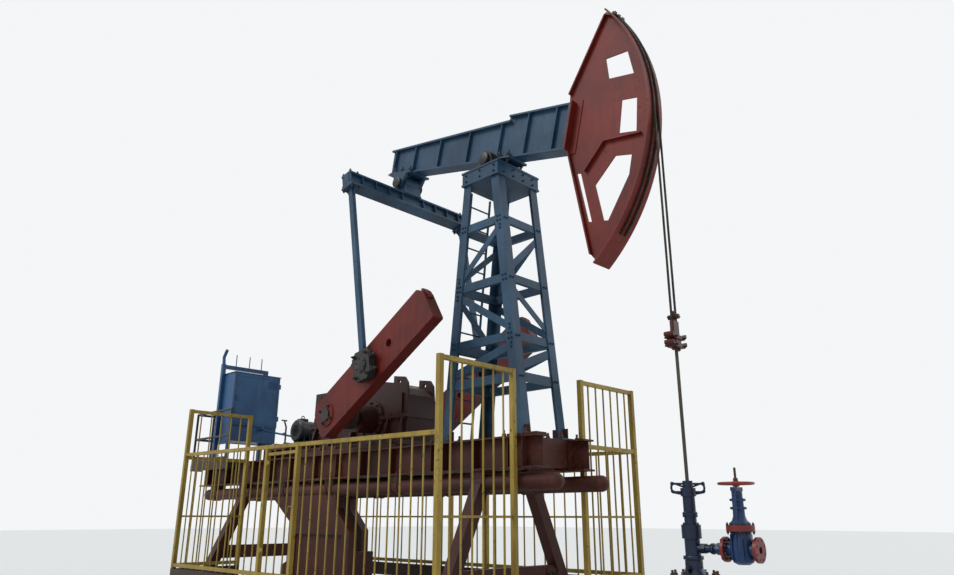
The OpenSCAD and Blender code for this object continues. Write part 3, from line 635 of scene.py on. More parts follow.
# each belt's line runs round the small sheave and back round the big one: a middle, a radius and an angle
span = math.hypot(ix - mx, iz - mz)
slope = math.atan2(iz - mz, ix - mx)
wrap = math.asin((big_r - small_r) / span)
belt_line = [(mx, mz, small_r, math.pi / 2 + wrap + i * (math.pi - 2 * wrap) / 16) for i in range(17)]
belt_line += [(ix, iz, big_r, -math.pi / 2 - wrap + i * (math.pi + 2 * wrap) / 44) for i in range(45)]
# the belt's section: out from the sheave's rim, and across
section = ((-0.0125, -0.0052), (0.0045, -0.0098), (0.0062, -0.0088), (0.0062, 0.0088), (0.0045, 0.0098),
           (-0.0125, 0.0052))
total = len(belt_line) * 6
faces = []
for i in range(0, total, 6):
    for k in range(6):
        a, b = i + k, i + (k + 1) % 6
        faces.append((a, b, (b + 6) % total, (a + 6) % total))
loops = []
for y in [first_belt + belt_pitch * i for i in range(belt_count)]:
    verts = []
    for x, z, r, a in belt_line:
        c, s = math.cos(a + slope), math.sin(a + slope)
        verts += [(x + (r + dr) * c, y + dy, z + (r + dr) * s) for dr, dy in section]
    loops.append(solid("belt", verts, [], faces))
    edit(outward)
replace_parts(settle(joined(loops), "v_belts", "base", belt_rubber), "drive_belts")

# Control cabinet, posts and conduit
# A folded sheet-steel switch cabinet on legs in front of a welded portal, painted a medium blue. The portal
# carries three bare pins and the bent head of the cable riser. A thin conduit runs down to the motor.
cabinet_paint = painted("cabinet_blue_paint", "1d4166", "2c547c", "4a3222", "1b2229", 0.2, 0.4, 0.38)
for name in ("cabinet_shell", "cabinet_posts", "cabinet_door", "conduit"):
    dress(name, cabinet_paint)
trim = [plate(-4.795, -4.335, -0.49, 0.49, 3.98, 3.992, 0.004),
        plate(-4.345, -4.337, -0.49, 0.49, 3.9775, 3.988, 0.002)]
trim += [plate(-4.78, -4.77, -0.45, 0.38, z - 0.025, z + 0.025, 0.002) for z in (2.95, 3.85)]
settle(joined(trim), "cabinet_rain_lip", "base", cabinet_paint)
# the door's raised folds, three round locks and six louvres
folds = ((-0.43, 0.43, 3.045, 3.07), (-0.43, 0.43, 3.915, 3.94), (-0.445, -0.42, 3.045, 3.94),
         (0.42, 0.445, 3.045, 3.94))
panel = [plate(-4.3485, -4.3425, y0, y1, z0, z1, 0.002) for y0, y1, z0, z1 in folds]
panel += [turned([(0.0, 0.0), (0.02, 0.0), (0.02, 0.012), (0.012, 0.016), (0.0, 0.016)],
                 (-4.348, -0.405, z), along_x, 20) for z in (3.25, 3.505, 3.76)]
panel += [plate(-4.3485, -4.338, 0.225, 0.405, z, z + 0.013, 0.003)
          for z in [3.752 + 0.024 * i for i in range(6)]]
settle(joined(panel), "door_folds_locks_and_louvres", "door", cabinet_paint)
riser = [turned([(0.03, 0.0), (0.036, 0.0), (0.036, 0.02), (0.03, 0.022)],
                (-4.811, -0.5, 4.172), up, 24, True),
         plate(-4.85, -4.77, -0.54, -0.46, 4.17, 4.176, 0.002)]
settle(joined(riser), "riser_collar", "base", cabinet_paint)
# couplings at four shares of the conduit's length
couplings = []
for f in (0.06, 0.35, 0.65, 0.94):
    x, y, z = -4.355 + 1.405 * f, 0.134 - 0.064 * f, 2.998 - 0.288 * f
    couplings.append(plate(x - 0.012, x + 0.012, y - 0.02, y + 0.02, z - 0.02, z + 0.02, 0.004))
settle(joined(couplings), "conduit_couplings", "base", cabinet_paint)
lever = [bar([(-2.51, -0.43, frame_top), (-2.51, -0.43, 2.809), (-2.58, -0.43, 2.925)], 0.03, 16),
         bar([(-2.58, -0.48, 2.925), (-2.58, -0.38, 2.925)], 0.024, 12),
         plate(-2.56, -2.46, -0.48, -0.38, 2.3005, 2.316)]
settle(joined(lever), "switch_lever", "base", greasy_steel)

# Rear platform
# Chequer plate on angle edges behind the frame, with a tubular handrail that has a middle rail and a kick
# strip. Both were painted black and have rusted through at the welds.
rail_black = painted("rail_black_paint", "17181a", "28282a", "51301c", "221c17", 0.6, 0.4, 0.42)
dress("platform_rail", rail_black)
deck = painted("chequer_plate_worn", "241812", "3a2a20", "5a3821", "1b1510", 0.8, 0.5, 0.5)
t = deck.node_tree
here = t.nodes["Texture Coordinate"]
lozenge = node(t, "ShaderNodeTexBrick",
               {"Scale": 30.0, "Mortar Size": 0.035, "Mortar Smooth": 0.4, "Brick Width": 1.0,
                "Row Height": 0.4}, {"Vector": here.outputs["Object"]})
tread = node(t, "ShaderNodeBump", {"Strength": 0.5, "Distance": 0.003},
             {"Height": lozenge.outputs["Fac"], "Normal": t.nodes["Bump"].outputs[0]})
t.links.new(tread.outputs[0], t.nodes["Principled BSDF"].inputs["Normal"])
dress("platform", deck)
kick = [plate(-5.178, -3.865, -0.748, -0.743, 2.312, 2.4, 0.001),
        plate(-5.183, -5.178, -0.745, 0.745, 2.312, 2.4, 0.001)]
for x, y in ((-5.155, -0.705), (-3.855, -0.705), (-5.155, 0.705), (-4.505, -0.705)):
    kick.append(turned([(0.021, 0.0), (0.045, 0.0), (0.045, 0.006), (0.026, 0.01), (0.021, 0.024)],
                       (x, y, 2.312), up, 20, True))
settle(joined(kick), "kick_strip", "base", rail_black)

# Guard fence
# Square tube posts and rails with thin square bars between, welded and brush-painted in a yellow that has
# gone dull. It stands on a kerb beam, and below 0.65 m it is painted dark brown. Post tops are capped, and
# the gate hangs on two hinges.
fence_paint = painted("fence_yellow_paint", "826a26", "9a8539", "5a3a1e", "3d3220", 0.55, 0.45, 0.5)


def repaint(m, share, colour):
    """Lays a colour over a material's own, as far as a share says. Both are outputs of nodes."""
    t = m.node_tree
    skin = t.nodes["Principled BSDF"]
    own = skin.inputs["Base Color"].links[0].from_socket
    over = node(t, "ShaderNodeMix", {"data_type": "RGBA"}, {0: share, 6: own, 7: colour})
    t.links.new(over.outputs[2], skin.inputs["Base Color"])


def axes(m):
    """The node that gives a material its place in X, Y and Z."""
    here = m.node_tree.nodes["Texture Coordinate"]
    return node(m.node_tree, "ShaderNodeSeparateXYZ", {}, {0: here.outputs["Object"]})


# below 0.65 m, on the kerb beam and the feet of the posts, the fence is painted dark brown
t = fence_paint.node_tree
kerb = node(t, "ShaderNodeMapRange", {1: 0.646, 2: 0.644}, {0: axes(fence_paint).outputs["Z"]})
low_dark_colour = node(t, "ShaderNodeRGB")
low_dark_colour.outputs[0].default_value = linear("2c1c12")
repaint(fence_paint, kerb.outputs[0], low_dark_colour.outputs[0])
for name in ("fence_rear", "fence_far", "fence_front"):
    dress(name, fence_paint)
# the sides' ends along X, and how far a side's front end stands out
fence_back, fence_run, flare = -3.405, 6.04, 0.09


def top_rail(x):
    """The top of a side's top rail, which falls a little towards the front."""
    return 2.365 - (x - fence_back) / fence_run * 0.1


# the near side has no middle rail. It is built straight and then sheared, so that its front end stands out
gate_x = (-0.826, -0.06)
near_side = []
for x in gate_x:
    near_side.append(plate(x - 0.03, x + 0.03, -1.68, -1.62, 0.01, top_rail(x), 0.003))
    near_side.append(plate(x - 0.09, x + 0.09, -1.74, -1.56, 0.0, 0.012, 0.002))
for x0, x1 in ((-3.363, gate_x[0]), gate_x, (gate_x[1], 2.593)):
    z0, z1 = top_rail(x0), top_rail(x1)
    near_side.append(cheek([(x0, z0 - 0.05), (x1, z1 - 0.05), (x1, z1), (x0, z0)], -1.675, -1.625, 0.003))
    near_side.append(plate(x0, x1, -1.675, -1.625, 0.665, 0.715, 0.003))
    near_side.append(plate(x0, x1, -1.69, -1.61, 0.44, 0.64, 0.003))
    count = round((x1 - x0) / 0.195)
    for x in [x0 + (x1 - x0) * i / count for i in range(1, count)]:
        near_side.append(plate(x - 0.008, x + 0.008, -1.658, -1.642, 0.64, top_rail(x) - 0.02, 0.002))
near_side.append(plate(*gate_x, -1.665, -1.635, 2.18, 2.22, 0.002))
for x in (-3.375, 2.593):
    near_side.append(plate(x, x + 0.012, -1.675, -1.625, top_rail(x) - 0.05, top_rail(x), 0))
near_side = joined(near_side)
bpy.ops.object.transform_apply(location=True, rotation=True, scale=True)
aslant = Matrix.Identity(4)
aslant[1][0] = -flare / fence_run
aslant[1][3] = flare / fence_run * fence_back
near_side.data.transform(aslant)
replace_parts(settle(near_side, "fence_near_side", "base", fence_paint, 0), "fence_near")
corners = [(-3.405, -1.65), (-3.405, 1.65), (2.635, -1.74), (2.755, 1.74)]
inner = [(-3.405, -0.6), (-3.405, 0.6), (2.635, -0.58), (2.755, 0.58)]
posts = [(x, y, 3.06) for x, y in corners + inner]
posts += [(-0.826, -1.688, 2.322), (-0.06, -1.7, 2.31), (-0.755, 1.689, 2.321), (0.038, 1.7, 2.308)]
tops = [plate(x - 0.033, x + 0.033, y - 0.033, y + 0.033, z, z + 0.005, 0.002) for x, y, z in posts]
settle(joined(tops), "post_caps", "base", fence_paint, 0)
gate = []
for z in (0.95, 2.05):
    gate.append(turned([(0.0, 0.0), (0.014, 0.0), (0.014, 0.075), (0.0, 0.075)], (-0.778, -1.712, z), up, 16))
    gate.append(plate(-0.815, -0.72, -1.722, -1.714, z + 0.015, z + 0.06, 0.001))
gate.append(bar([(-0.16, -1.727, 1.52), (-0.05, -1.729, 1.52)], 0.014, 10))
gate.append(bar([(-0.13, -1.728, 1.52), (-0.13, -1.752, 1.5), (-0.13, -1.752, 1.45)], 0.01, 8))
settle(joined(gate), "gate_hinges_and_bolt", "base", fence_paint)
anchors = [((x + i * 0.065, y + j * 0.065, 0.012), up) for x, y, z in posts for i in sides for j in sides]
bolts("fence_anchors", anchors, 0.018, "base", greasy_steel)

# Wellhead
# Casing head with a pair of studded flanges, the tubing head and its side outlet, a stuffing box with its
# screwed cap and loop handles, and a flanged gate valve. Dark blue paint, red flanges, oil round the rod.
well_paint = painted("wellhead_blue_paint", "0f1b31", "1a2d49", "3e2a1c", "0f0f10", 0.45, 0.75, 0.3)


def red_on(m, where, share, paint, faded):
    """Paints a material red, faded in patches, where a node's output is 1."""
    t = m.node_tree
    reach = node(t, "ShaderNodeMath", {"operation": "MULTIPLY", 1: share}, {0: where.outputs[0]})
    red = node(t, "ShaderNodeMix", {"data_type": "RGBA", 6: linear(paint), 7: linear(faded)},
               {0: t.nodes["Noise Texture"].outputs["Fac"]})
    repaint(m, reach.outputs[0], red.outputs[2])


# the casing flanges between 0.69 and 0.86 m are red
t = well_paint.node_tree
height = axes(well_paint).outputs["Z"]
above = node(t, "ShaderNodeMapRange", {1: 0.692, 2: 0.696}, {0: height})
below = node(t, "ShaderNodeMapRange", {1: 0.862, 2: 0.856}, {0: height})
band = node(t, "ShaderNodeMath", {"operation": "MULTIPLY"}, {0: above.outputs[0], 1: below.outputs[0]})
red_on(well_paint, band, 0.85, "591c15", "71291f")
for name in ("wellhead_body", "stuffing_box"):
    dress(name, well_paint)


def around(x, y, z, r, count, way, turn=0.0):
    """Places on a level ring."""
    turns = [turn + 2 * math.pi * i / count for i in range(count)]
    return [((x + r * math.cos(a), y + r * math.sin(a), z), way) for a in turns]


casing_studs = around(wx, 0, 0.845, 0.212, 12, up) + around(wx, 0, 0.7, 0.212, 12, down)
bolts("casing_studs", casing_studs, 0.042, "base", greasy_steel, 0.7)
cellar_nuts = around(wx, 0, 0.06, 0.285, 10, up, 0.2)
bolts("cellar_plate_nuts", cellar_nuts, 0.036, "base", greasy_steel, 0.5)
cap_bolts = around(wx, 0, 1.33, 0.078, 6, up)
bolts("tubing_cap_bolts", cap_bolts, 0.018, "base", greasy_steel, 0.4)
collars = [turned([(0.085, 0.0), (0.135, 0.0), (0.135, 0.018), (0.085, 0.075)],
                  (wx, 0, 0.845), up, 40, True),
           turned([(0.075, 0.0), (0.094, 0.0), (0.098, 0.006), (0.098, 0.03), (0.094, 0.036),
                   (0.075, 0.036)], (wx, 0, 1.005), up, 40, True),
           turned([(0.06, 0.0), (0.07, 0.0), (0.073, 0.006), (0.073, 0.045), (0.06, 0.055)],
                  (wx, 0, 1.4), up, 36, True),
           turned([(0.038, 0.0), (0.052, 0.0), (0.052, 0.05), (0.038, 0.05)],
                  (wx + 0.095, 0, bore_z), along_x, 6, True),
           turned([(0.038, 0.0), (0.048, 0.0), (0.052, 0.008), (0.052, 0.03), (0.038, 0.036)],
                  (wx + 0.2, 0, bore_z), along_x, 28, True)]
for s in sides:
    collars.append(turned([(0.0, 0.0), (0.024, 0.0), (0.024, 0.05), (0.019, 0.054), (0.019, 0.075),
                           (0.0, 0.078)], (wx, s * 0.074, 0.93), (0, s, 0), 6))
# the cap's two loop handles stand at 45 degrees to the machine
across, round_end = math.sqrt(0.5), [math.pi * i / 10 for i in range(11)]
line = [(0.04, 1.722)] + [(0.128 + 0.04 * math.sin(a), 1.682 + 0.04 * math.cos(a)) for a in round_end]
line.append((0.04, 1.642))
for s in sides:
    collars.append(bar([(wx + s * r * across, s * r * across, z) for r, z in line], 0.021, 16))
settle(joined(collars), "wellhead_collars_and_loops", "base", well_paint)
flange_nuts = []
for x, way in ((vx - 0.145, 1), (vx - 0.175, -1), (vx + 0.145, -1)):
    for a in [math.radians(22.5 + 45 * i) for i in range(8)]:
        flange_nuts.append(((x, 0.09 * math.cos(a), bore_z + 0.09 * math.sin(a)), (way, 0, 0)))
bolts("valve_flange_nuts", flange_nuts, 0.024, "base", greasy_steel, 0.3)
valve_paint = painted("valve_blue_and_red", "12294c", "1c3a63", "3e2a1c", "10100f", 0.45, 0.6, 0.35)
# the three flanges are red: two stand across X, the bonnet's lies level
t = valve_paint.node_tree
place = axes(valve_paint)
bands = (("X", vx - 0.16, 0.0165), ("X", vx + 0.16, 0.0165), ("Z", 1.3, 0.031))
flanges = [node(t, "ShaderNodeMath", {"operation": "COMPARE", 1: middle, 2: reach}, {0: place.outputs[axis]})
           for axis, middle, reach in bands]
two = node(t, "ShaderNodeMath", {"operation": "MAXIMUM"},
           {0: flanges[0].outputs[0], 1: flanges[1].outputs[0]})
three = node(t, "ShaderNodeMath", {"operation": "MAXIMUM"}, {0: two.outputs[0], 1: flanges[2].outputs[0]})
red_on(valve_paint, three, 0.9, "5e1d13", "7a2b1e")
dress("gate_valve", valve_paint)
# the belly, the bonnet's flange, and the neck with its two packing flanges
valve = [turned([(0.0, 0.975), (0.055, 0.978), (0.092, 1.0), (0.108, 1.045), (0.108, 1.165),
                 (0.096, 1.215), (0.088, 1.268), (0.0, 1.268)], (vx, 0, 0), up, 48),
         turned([(0.105, 1.272), (0.128, 1.272), (0.131, 1.275), (0.131, 1.325), (0.128, 1.328),
                 (0.105, 1.328)], (vx, 0, 0), up, 48, True),
         turned([(0.0145, 1.332), (0.098, 1.332), (0.098, 1.344), (0.07, 1.372), (0.056, 1.41),
                 (0.054, 1.468), (0.076, 1.474), (0.076, 1.492), (0.052, 1.498), (0.052, 1.544),
                 (0.074, 1.55), (0.074, 1.568), (0.05, 1.574), (0.046, 1.639), (0.0145, 1.639)],
                (vx, 0, 0), up, 40, True)]
for s in sides:
    for z in (1.483, 1.559):
        valve.append(turned([(0.0, -0.02), (0.016, -0.02), (0.016, 0.026), (0.0, 0.03)],
                            (vx + s * 0.064, -s * 0.064, z), up, 6))
    # ribs down the belly
    for x in [vx + i * 0.055 for i in (-1, 0, 1)]:
        valve.append(plate(x - 0.006, x + 0.006, s * 0.085, s * 0.112, 1.02, 1.25, 0.003))
settle(joined(valve), "valve_belly_and_bonnet", "base", valve_paint)
bonnet_studs = around(vx, 0, 1.328, 0.116, 8, up, 0.39) + around(vx, 0, 1.272, 0.116, 8, down, 0.39)
bolts("bonnet_studs", bonnet_studs, 0.022, "base", greasy_steel, 0.5)
wheel_red = painted("valve_wheel_red", "6e1f17", "8c3328", "4b2c1c", "241713", 0.45, 0.45, 0.36)
wheel_z = 1.71
deselect()
bpy.ops.mesh.primitive_torus_add(location=(vx, 0, wheel_z), major_radius=0.16, minor_radius=0.0125,
                                 major_segments=56, minor_segments=14)
wheel = [bpy.context.object]
spoke = ((0.026, 0.004), (0.06, -0.005), (0.105, -0.007), (0.156, 0.0))
for a in [2 * math.pi * i / 5 for i in range(5)]:
    wheel.append(bar([(vx + r * math.cos(a), r * math.sin(a), wheel_z + dz) for r, dz in spoke], 0.017, 12))
wheel.append(turned([(0.0131, -0.029), (0.03, -0.029), (0.035, -0.016), (0.035, 0.012), (0.028, 0.022),
                     (0.0131, 0.022)], (vx, 0, wheel_z), up, 32, True))
wheel = settle(joined(wheel), "spoked_wheel", "valve_stem", wheel_red)
# the stem's thread runs below the wheel and above it
thread = [(0.0, 1.3375), (0.0128, 1.3375)]
for z in [1.345 + i * 0.006 for i in range(58)]:
    thread += [(0.0128, z), (0.0108, z + 0.003)]
thread += [(0.0128, 1.694), (0.0128, 1.742)]
for z in [1.744 + i * 0.006 for i in range(19)]:
    thread += [(0.0126, z), (0.0106, z + 0.003)]
thread += [(0.012, 1.859), (0.0, 1.86)]
settle(turned(thread, (vx, 0, 0), up, 24), "threaded_stem", "valve_stem", greasy_steel)
bolts("wheel_nut", [((vx, 0, 1.7325), up)], 0.04, "valve_stem", greasy_steel, 0)
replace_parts(wheel, "valve_wheel")

# Walking beam
# A deep welded I-section, shallower towards the tail, with a raised flange ahead of the tower. It is bolted
# to the saddle and the tail bearing bracket. Slate paint, chalked on top and rusted along the flange edges.
for name in ("walking_beam", "saddle", "tail_bracket"):
    dress(name, slate_paint)
on_beam = Matrix.Translation((pivot_x, 0, pivot_z)) @ Matrix.Rotation(math.radians(13.5), 4, "Y")


def within(m, spots):
    """Moves places and directions with a matrix."""
    return [((m @ Vector(p))[:], (m.to_3x3() @ Vector(w))[:]) for p, w in spots]


def placed(m, ob):
    """Moves a piece with a matrix."""
    ob.matrix_world = m @ ob.matrix_world
    return ob


clipped = (-0.27, -0.1, 0.1, 0.27, -2.28, -2.1, -1.9)
clips = [plate(u - 0.045, u + 0.045, s * 0.13 - 0.03, s * 0.155 + 0.03, 0.0965, 0.116, 0.003)
         for u in clipped for s in sides]
clips += [plate(0.1, 0.225, s * 0.063, s * 0.069, 0.6, 0.7, 0.002) for s in sides]
clips += [plate(1.195, 1.222, s * 0.066, s * 0.119, 0.1, 0.69, 0.002) for s in sides]
settle(placed(on_beam, joined(clips)), "beam_clips_and_doublers", "beam",
       slate_paint, 0)
clip_bolts = [((u, s * 0.15, 0.116), up) for u in clipped for s in sides]
clip_bolts += [((u, s * 0.15, 0.04), down) for u in (-0.27, 0.27) for s in sides]
bolts("beam_clip_bolts", within(on_beam, clip_bolts), 0.04, "beam", greasy_steel, 0.6)
covers = [turned([(0.0, 0.0), (0.088, 0.0), (0.092, 0.006), (0.09, 0.018), (0.06, 0.026), (0.0, 0.027)],
                 (x, s * y, z), (0, s, 0), 36)
          for x, y, z in ((pivot_x, 0.348, pivot_z), (tail_x, 0.225, tail_z)) for s in sides]
settle(joined(covers), "pivot_covers", "beam", bearing_iron)
cover_bolts = []
for s in sides:
    cover_bolts += ring(pivot_x, pivot_z, 0.356, 0.072, 6, s, 0.4)
    cover_bolts += ring(tail_x, tail_z, 0.233, 0.072, 6, s, 0.2)
bolts("pivot_cover_bolts", cover_bolts, 0.018, "beam", greasy_steel, 0)

# Horse head
# One flame-cut web with open windows, flanged along its back and closed by the bent plate that the ropes lie
# on. It hangs on the beam's end plate, bolted through, and is painted a red that has faded to brown.
head_red = painted("head_red_brown_paint", "56130a", "701f14", "43281b", "2a1410", 0.38, 0.45, 0.55)
for name in ("head_web", "head_arc"):
    dress(name, head_red)
centre = Vector((pivot_x, 0, pivot_z))
head_r = 2.5
# the end plate that closes the top corner between the flange and the bent plate
corner = [(head_r - 0.596, 1.515), (head_r - 0.579, 1.504)]
corner += [(2.477 * math.cos(a), 2.477 * math.sin(a))
           for a in [math.radians(35.5 + 0.5 * i) for i in range(6)]]
corner = placed(Matrix.Translation(centre), cheek(corner, -0.06, 0.06, 0))
settle(corner, "head_top_corner", "beam", head_red, 0)
# doubling plates each side of the web, where it is bolted up to the end plate
doublers = [placed(on_beam, plate(1.2505, 1.352, s * 0.01, s * 0.022, 0.03, 0.77, 0.003)) for s in sides]
settle(joined(doublers), "head_doubler_plates", "beam", head_red, 0)
plate_bolts = [((1.222, s * 0.088, n), (-1, 0, 0)) for s in sides for n in (0.14, 0.26, 0.4, 0.54, 0.66)]
bolts("head_plate_bolts", within(on_beam, plate_bolts), 0.034, "beam", greasy_steel, 0.4)
# the arc's top, where the ropes are clamped
top_angle = math.radians(34)
at_top = Matrix.Translation(centre) @ Matrix.Rotation(-top_angle, 4, "Y")
rope_bolts = [((2.534, y, z), (1, 0, 0)) for y in (-0.085, 0.0, 0.085) for z in (-0.016, 0.016)]
bolts("rope_clamp_bolts", within(at_top, rope_bolts), 0.018, "beam", greasy_steel, 0.2)

# Wire ropes
# A pair of six-strand hanger ropes with a long lay, black with grease. They are clamped at the top of the
# head, wrap its arc, and hang straight down from it to the sockets of the carrier bar.
rope_wire = two_tone("greased_wire_rope", "15130f", "3d362c", 30.0, 0.42, 0.55)
# wires of 1 mm, drawn at 2 mm so that they show
embossed(rope_wire, "ShaderNodeTexWave", {"Scale": 160.0, "Distortion": 0.6}, 0.4)
rope_y, rope_r, lay = 0.045, head_r + 0.014, 0.17
# the straight ropes' length at rest and the rod's stroke
drop, stroke = 2.74, 1.7


def strand(place, length, phase):
    """One strand about a rope's middle line; place gives a point from the distance along, across and out."""
    points = []
    for i in range(int(length / lay * 11) + 1):
        d = i * lay / 11
        a = 2 * math.pi * d / lay + phase
        points.append(place(d, 0.0091 * math.cos(a), 0.0091 * math.sin(a)))
    return bar(points, 0.0094, 8)


def on_arc(side):
    """Gives a rope's points down the head's arc from its top."""
    def place(d, across, out):
        a = top_angle - d / rope_r
        r = rope_r + out
        return (centre.x + r * math.cos(a), side * rope_y + across, centre.z + r * math.sin(a))
    return place


def hanging(side):
    """Gives a rope's points straight down from the tangent point."""
    def place(d, across, out):
        return (centre.x + rope_r + out, side * rope_y + across, pivot_z - d)
    return place


def rope_pair(way, length):
    """The twelve strands of both ropes."""
    return [strand(way(s), length, k * math.pi / 3) for s in sides for k in range(6)]


wrapped = rope_pair(on_arc, math.radians(73.5) * rope_r)
clamp = placed(at_top, plate(2.5003, 2.534, -0.112, 0.112, -0.034, 0.034, 0.006))
wrapped = settle(joined(wrapped + [clamp]), "laid_ropes_on_head", "beam", rope_wire)
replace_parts(wrapped, "ropes_on_head")
straight = settle(joined(rope_pair(hanging, drop)), "laid_ropes_hanging", "base", rope_wire)
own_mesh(straight)
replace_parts(straight, "ropes_straight")

# Carrier bar and polished rod
# The bar that the ropes pull on, with two horned jaws, a split rod clamp above it, and the rod that runs
# through the stuffing box. Forged steel under old red paint, with oil on everything near the rod.
carrier_red = painted("carrier_red_oiled", "3f130d", "5a2018", "43281b", "1a0f0c", 0.4, 0.65, 0.4)
carrier = [plate(wx - 0.04, wx + 0.04, -0.06, 0.06, 3.13, 3.262, 0.01),
           plate(wx - 0.024, wx + 0.024, -0.066, 0.066, 3.25, 3.425, 0.012)]
horned = [(-0.15, 0.034), (-0.148, 0.072), (-0.13, 0.074), (-0.104, 0.047), (0.104, 0.047), (0.13, 0.074),
          (0.148, 0.072), (0.15, 0.034), (0.1, 0.0), (-0.1, 0.0)]
for z in (3.12, 3.208):
    across_y = Matrix.Translation((wx, 0, z)) @ Matrix.Rotation(math.pi / 2, 4, "Z")
    carrier.append(placed(across_y, cheek(horned, -0.056, 0.056, 0.006)))
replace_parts(settle(joined(carrier), "carrier_jaws", "rod_string", carrier_red),
            "rod_carrier")
rod_steel = painted("polished_rod_oiled", "3b3731", "57514a", "4a3424", "1c1916", 0.35, 0.6, 0.34)
rod_steel.node_tree.nodes["Principled BSDF"].inputs["Metallic"].default_value = 0.6
rod = turned([(0.0, 0.031), (0.015, 0.031), (0.0179, 0.034), (0.0179, 3.5), (0.015, 3.502),
              (0.015, 3.514), (0.0176, 3.516), (0.0176, 3.524), (0.014, 3.53), (0.0, 3.53)],
             (wx, 0, 0), up, 28)
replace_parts(settle(rod, "turned_rod", "rod_string", rod_steel), "polished_rod")
clamp_z = 3.44
grips = [turned([(0.0183, 0.0), (0.025, 0.0), (0.025, 0.05), (0.0183, 0.05)], (wx, 0, clamp_z), up, 28, True)]
grips += [plate(wx + s * 0.023, wx + s * 0.066, -0.018, 0.018, clamp_z, clamp_z + 0.05, 0.005) for s in sides]
for s in sides:
    grips.append(turned([(0.0, 0.0), (0.026, 0.0), (0.026, 0.02), (0.018, 0.026), (0.0, 0.026)],
                        (wx, s * rope_y, 3.12), down, 6))
    grips.append(turned([(0.014, 0.0), (0.0165, 0.0), (0.0185, -0.02), (0.0192, -0.165), (0.014, -0.165)],
                        (wx, s * rope_y, 3.421), up, 24, True))
settle(joined(grips), "rod_clamps_and_sockets", "rod_string", carrier_red)
clamp_bolts = [((wx + i * 0.05, s * 0.018, clamp_z + 0.025), (0, s, 0)) for i in sides for s in sides]
clamp_bolts += [((wx + e * 0.056, y, z), (e, 0, 0)) for e in sides for y in (-0.085, 0.085)
                for z in (3.143, 3.231)]
bolts("rod_clamp_bolts", clamp_bolts, 0.024, "rod_string", greasy_steel, 0.4)

# Cranks
# Two heavy cast cranks with pin holes, keyed and clamped on the slow shaft. The tips carry lifting lugs. The
# red paint is thick on the broad faces and gone at the edges, with grease flung out round the pin holes.
crank_red = painted("crank_red_paint", "4e1008", "681a0f", "46261a", "210f0b", 0.4, 0.5, 0.55)
for name in ("crank_near", "crank_far"):
    dress(name, crank_red)
dress("crank_shaft", greasy_steel)
on_crank = Matrix.Translation((slow_x, 0, slow_z)) @ Matrix.Rotation(math.radians(-31), 4, "Y")
# the cranks' middle and outer face along Y
crank_y, face_y = 0.9725, 1.06
lug_outlines = ([(2.245, 0.276), (2.316, 0.276), (2.314, 0.304), (2.3, 0.311), (2.252, 0.3)],
                [(2.352, 0.236), (2.404, 0.168), (2.408, 0.075), (2.434, 0.075), (2.438, 0.172),
                 (2.4, 0.254), (2.366, 0.276)])
trims = []
for s in sides:
    low, high = sorted((s * 0.93, s * 1.015))
    first, second = [cheek(outline, low, high, 0.003) for outline in lug_outlines]
    holes = [cylinder(r, high - low + 0.04, 28, (x, (low + high) / 2, z), (math.pi / 2, 0, 0))
             for x, z, r in ((2.398, 0.205, 0.011), (2.42, 0.12, 0.01))]
    trims += [first, cut(second, holes)]
    face = s * face_y
    # a raised boss round the shaft, a pin's end inside, and thin bosses round the free pin holes
    trims.append(turned([(0.0905, 0.0), (0.165, 0.0), (0.16, 0.016), (0.0905, 0.02)],
                        (0, face, 0), (0, s, 0), 48, True))
    trims.append(turned([(0.0, 0.0), (0.15, 0.0), (0.15, 0.022), (0.12, 0.04), (0.0, 0.046)],
                        (1.08, s * 0.885, 0), (0, -s, 0), 6))
    for u in (0.804, 1.558):
        trims.append(turned([(0.0555, 0.0), (0.078, 0.0), (0.074, 0.0045), (0.0555, 0.0045)],
                            (u, face, 0.02), (0, s, 0), 32, True))
    # the pin hole beside the pin in use is closed with a plug
    trims.append(turned([(0.0, -0.03), (0.0545, -0.03), (0.0545, -0.002), (0.05, 0.0), (0.0, 0.0)],
                        (1.33, face, 0.02), (0, s, 0), 32))
    # a clamp ear behind the shaft
    trims.append(plate(-0.262, -0.248, s * crank_y - 0.08, s * crank_y + 0.08, -0.13, 0.05, 0.004))
settle(placed(on_crank, joined(trims)), "crank_lugs_and_bosses", "cranks", crank_red)
ear_bolts = [((-0.262, s * crank_y + y, n), (-1, 0, 0)) for s in sides for y in (-0.045, 0.045)
             for n in (-0.1, 0.02)]
boss_r = 0.095 * 1.35
ear_bolts += [((boss_r * math.cos(a), s * 1.0755, boss_r * math.sin(a)), (0, s, 0))
              for s in sides for a in (0.6, 2.2, 3.8, 5.3)]
bolts("crank_clamp_bolts", within(on_crank, ear_bolts), 0.036, "cranks", greasy_steel, 0.5)
keys = [plate(-0.022, 0.022, s * face_y, s * 1.1005, 0.06, 0.104, 0.002) for s in sides]
settle(placed(on_crank, joined(keys)), "crank_keys", "cranks", greasy_steel)

# Equalizer and pitmans
# A cross beam of two channels on the tail bearing, and two box-section pitmans bolted under its ends. Slate
# paint again. At the lower ends, split bearing housings, black with grease, hold the crank pins.
for name in ("equalizer", "pitmans"):
    dress(name, slate_paint)
dress("pin_bearings", bearing_iron)
on_pitman = Matrix.Translation((tail_x, 0, tail_z)) @ Matrix.Rotation(math.radians(79.33), 4, "Y")
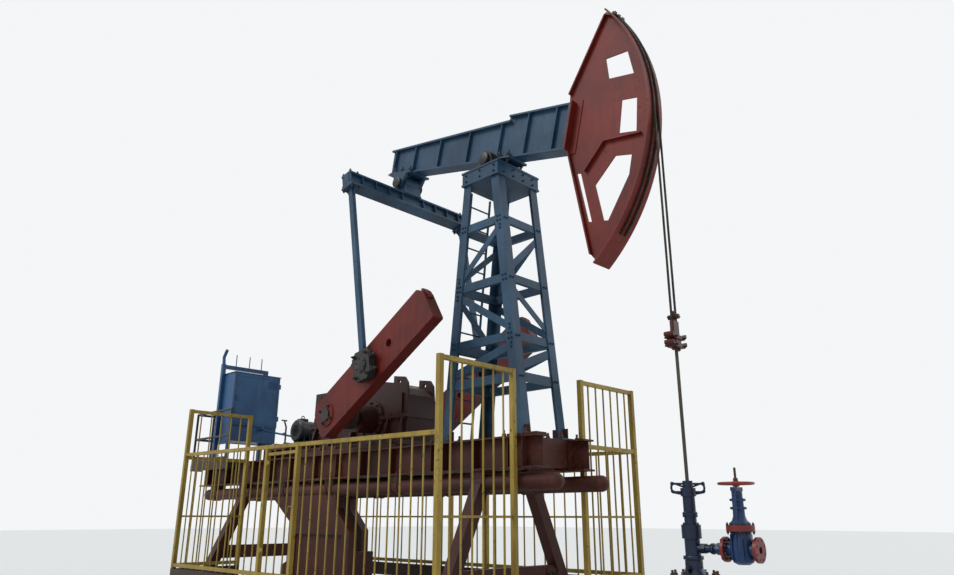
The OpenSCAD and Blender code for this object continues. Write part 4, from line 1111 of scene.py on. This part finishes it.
# the pitmans' distance from the middle, and the crank pin's from the tail bearing
pitman_y, pin_u = 1.15, 3.2704
web_y = (0.22, 0.48, 0.74, 1.0, 1.225)
webs = [plate(0.2555, 0.4045, s * y - 0.006, s * y + 0.006, side * 0.0605, side * 0.106, 0)
        for side in (1, -1) for s in sides for y in web_y]
for s in sides:
    for side in sides:
        gusset = [(0.466, side * 0.044), (0.466, side * 0.115), (0.6, side * 0.046)][::side]
        webs.append(cheek(gusset, s * pitman_y - 0.006, s * pitman_y + 0.006, 0))
    webs.append(turned([(0.152, 0.0), (0.158, 0.004), (0.158, 0.02), (0.152, 0.024)],
                       (0, s * 0.124, 0), (0, s, 0), 48, True))
settle(placed(on_pitman, joined(webs)), "equalizer_webs_and_caps", "pitmans",
       slate_paint)
ends = [(s, i, j) for s in sides for i in sides for j in sides]
pitman_bolts = [((0.465, s * (pitman_y + i * 0.066), j * 0.104), (1, 0, 0)) for s, i, j in ends]
pitman_bolts += [((0.225, s * (pitman_y + i * 0.066), j * 0.085), (-1, 0, 0)) for s, i, j in ends]
pitman_bolts += [((0.225, s * 0.18, j * 0.085), (-1, 0, 0)) for s in sides for j in sides]
bolts("pitman_bolts", within(on_pitman, pitman_bolts), 0.036, "pitmans",
      greasy_steel, 0.5)
housing = []
for s in sides:
    housing.append(turned([(0.0, 0.0), (0.105, 0.0), (0.105, 0.012), (0.07, 0.02), (0.0, 0.022)],
                          (pin_u, s * 1.2, 0), (0, s, 0), 40))
    for side in sides:
        for x in (3.13, 3.33):
            housing.append(plate(x, x + 0.08, s * 1.112, s * 1.193, side * 0.172, side * 0.2, 0.005))
settle(placed(on_pitman, joined(housing)), "pin_housing_ears", "pitmans", bearing_iron)
rim_bolts = [((pin_u + 0.086 * math.cos(a), s * 1.212, 0.086 * math.sin(a)), (0, s, 0))
             for s in sides for a in [math.pi * i / 3 for i in range(6)]]
bolts("pin_cap_bolts", within(on_pitman, rim_bolts), 0.02, "pitmans", greasy_steel, 0.2)
ear_bolts = [((pin_u + i * 0.145, s * 1.2, j * 0.12), (0, s, 0)) for s, i, j in ends]
ear_bolts += [((pin_u + i * 0.1, s * 1.152, j * 0.2), (0, 0, j)) for s, i, j in ends]
bolts("pin_housing_bolts", within(on_pitman, ear_bolts), 0.042, "pitmans", greasy_steel,
      0.6)
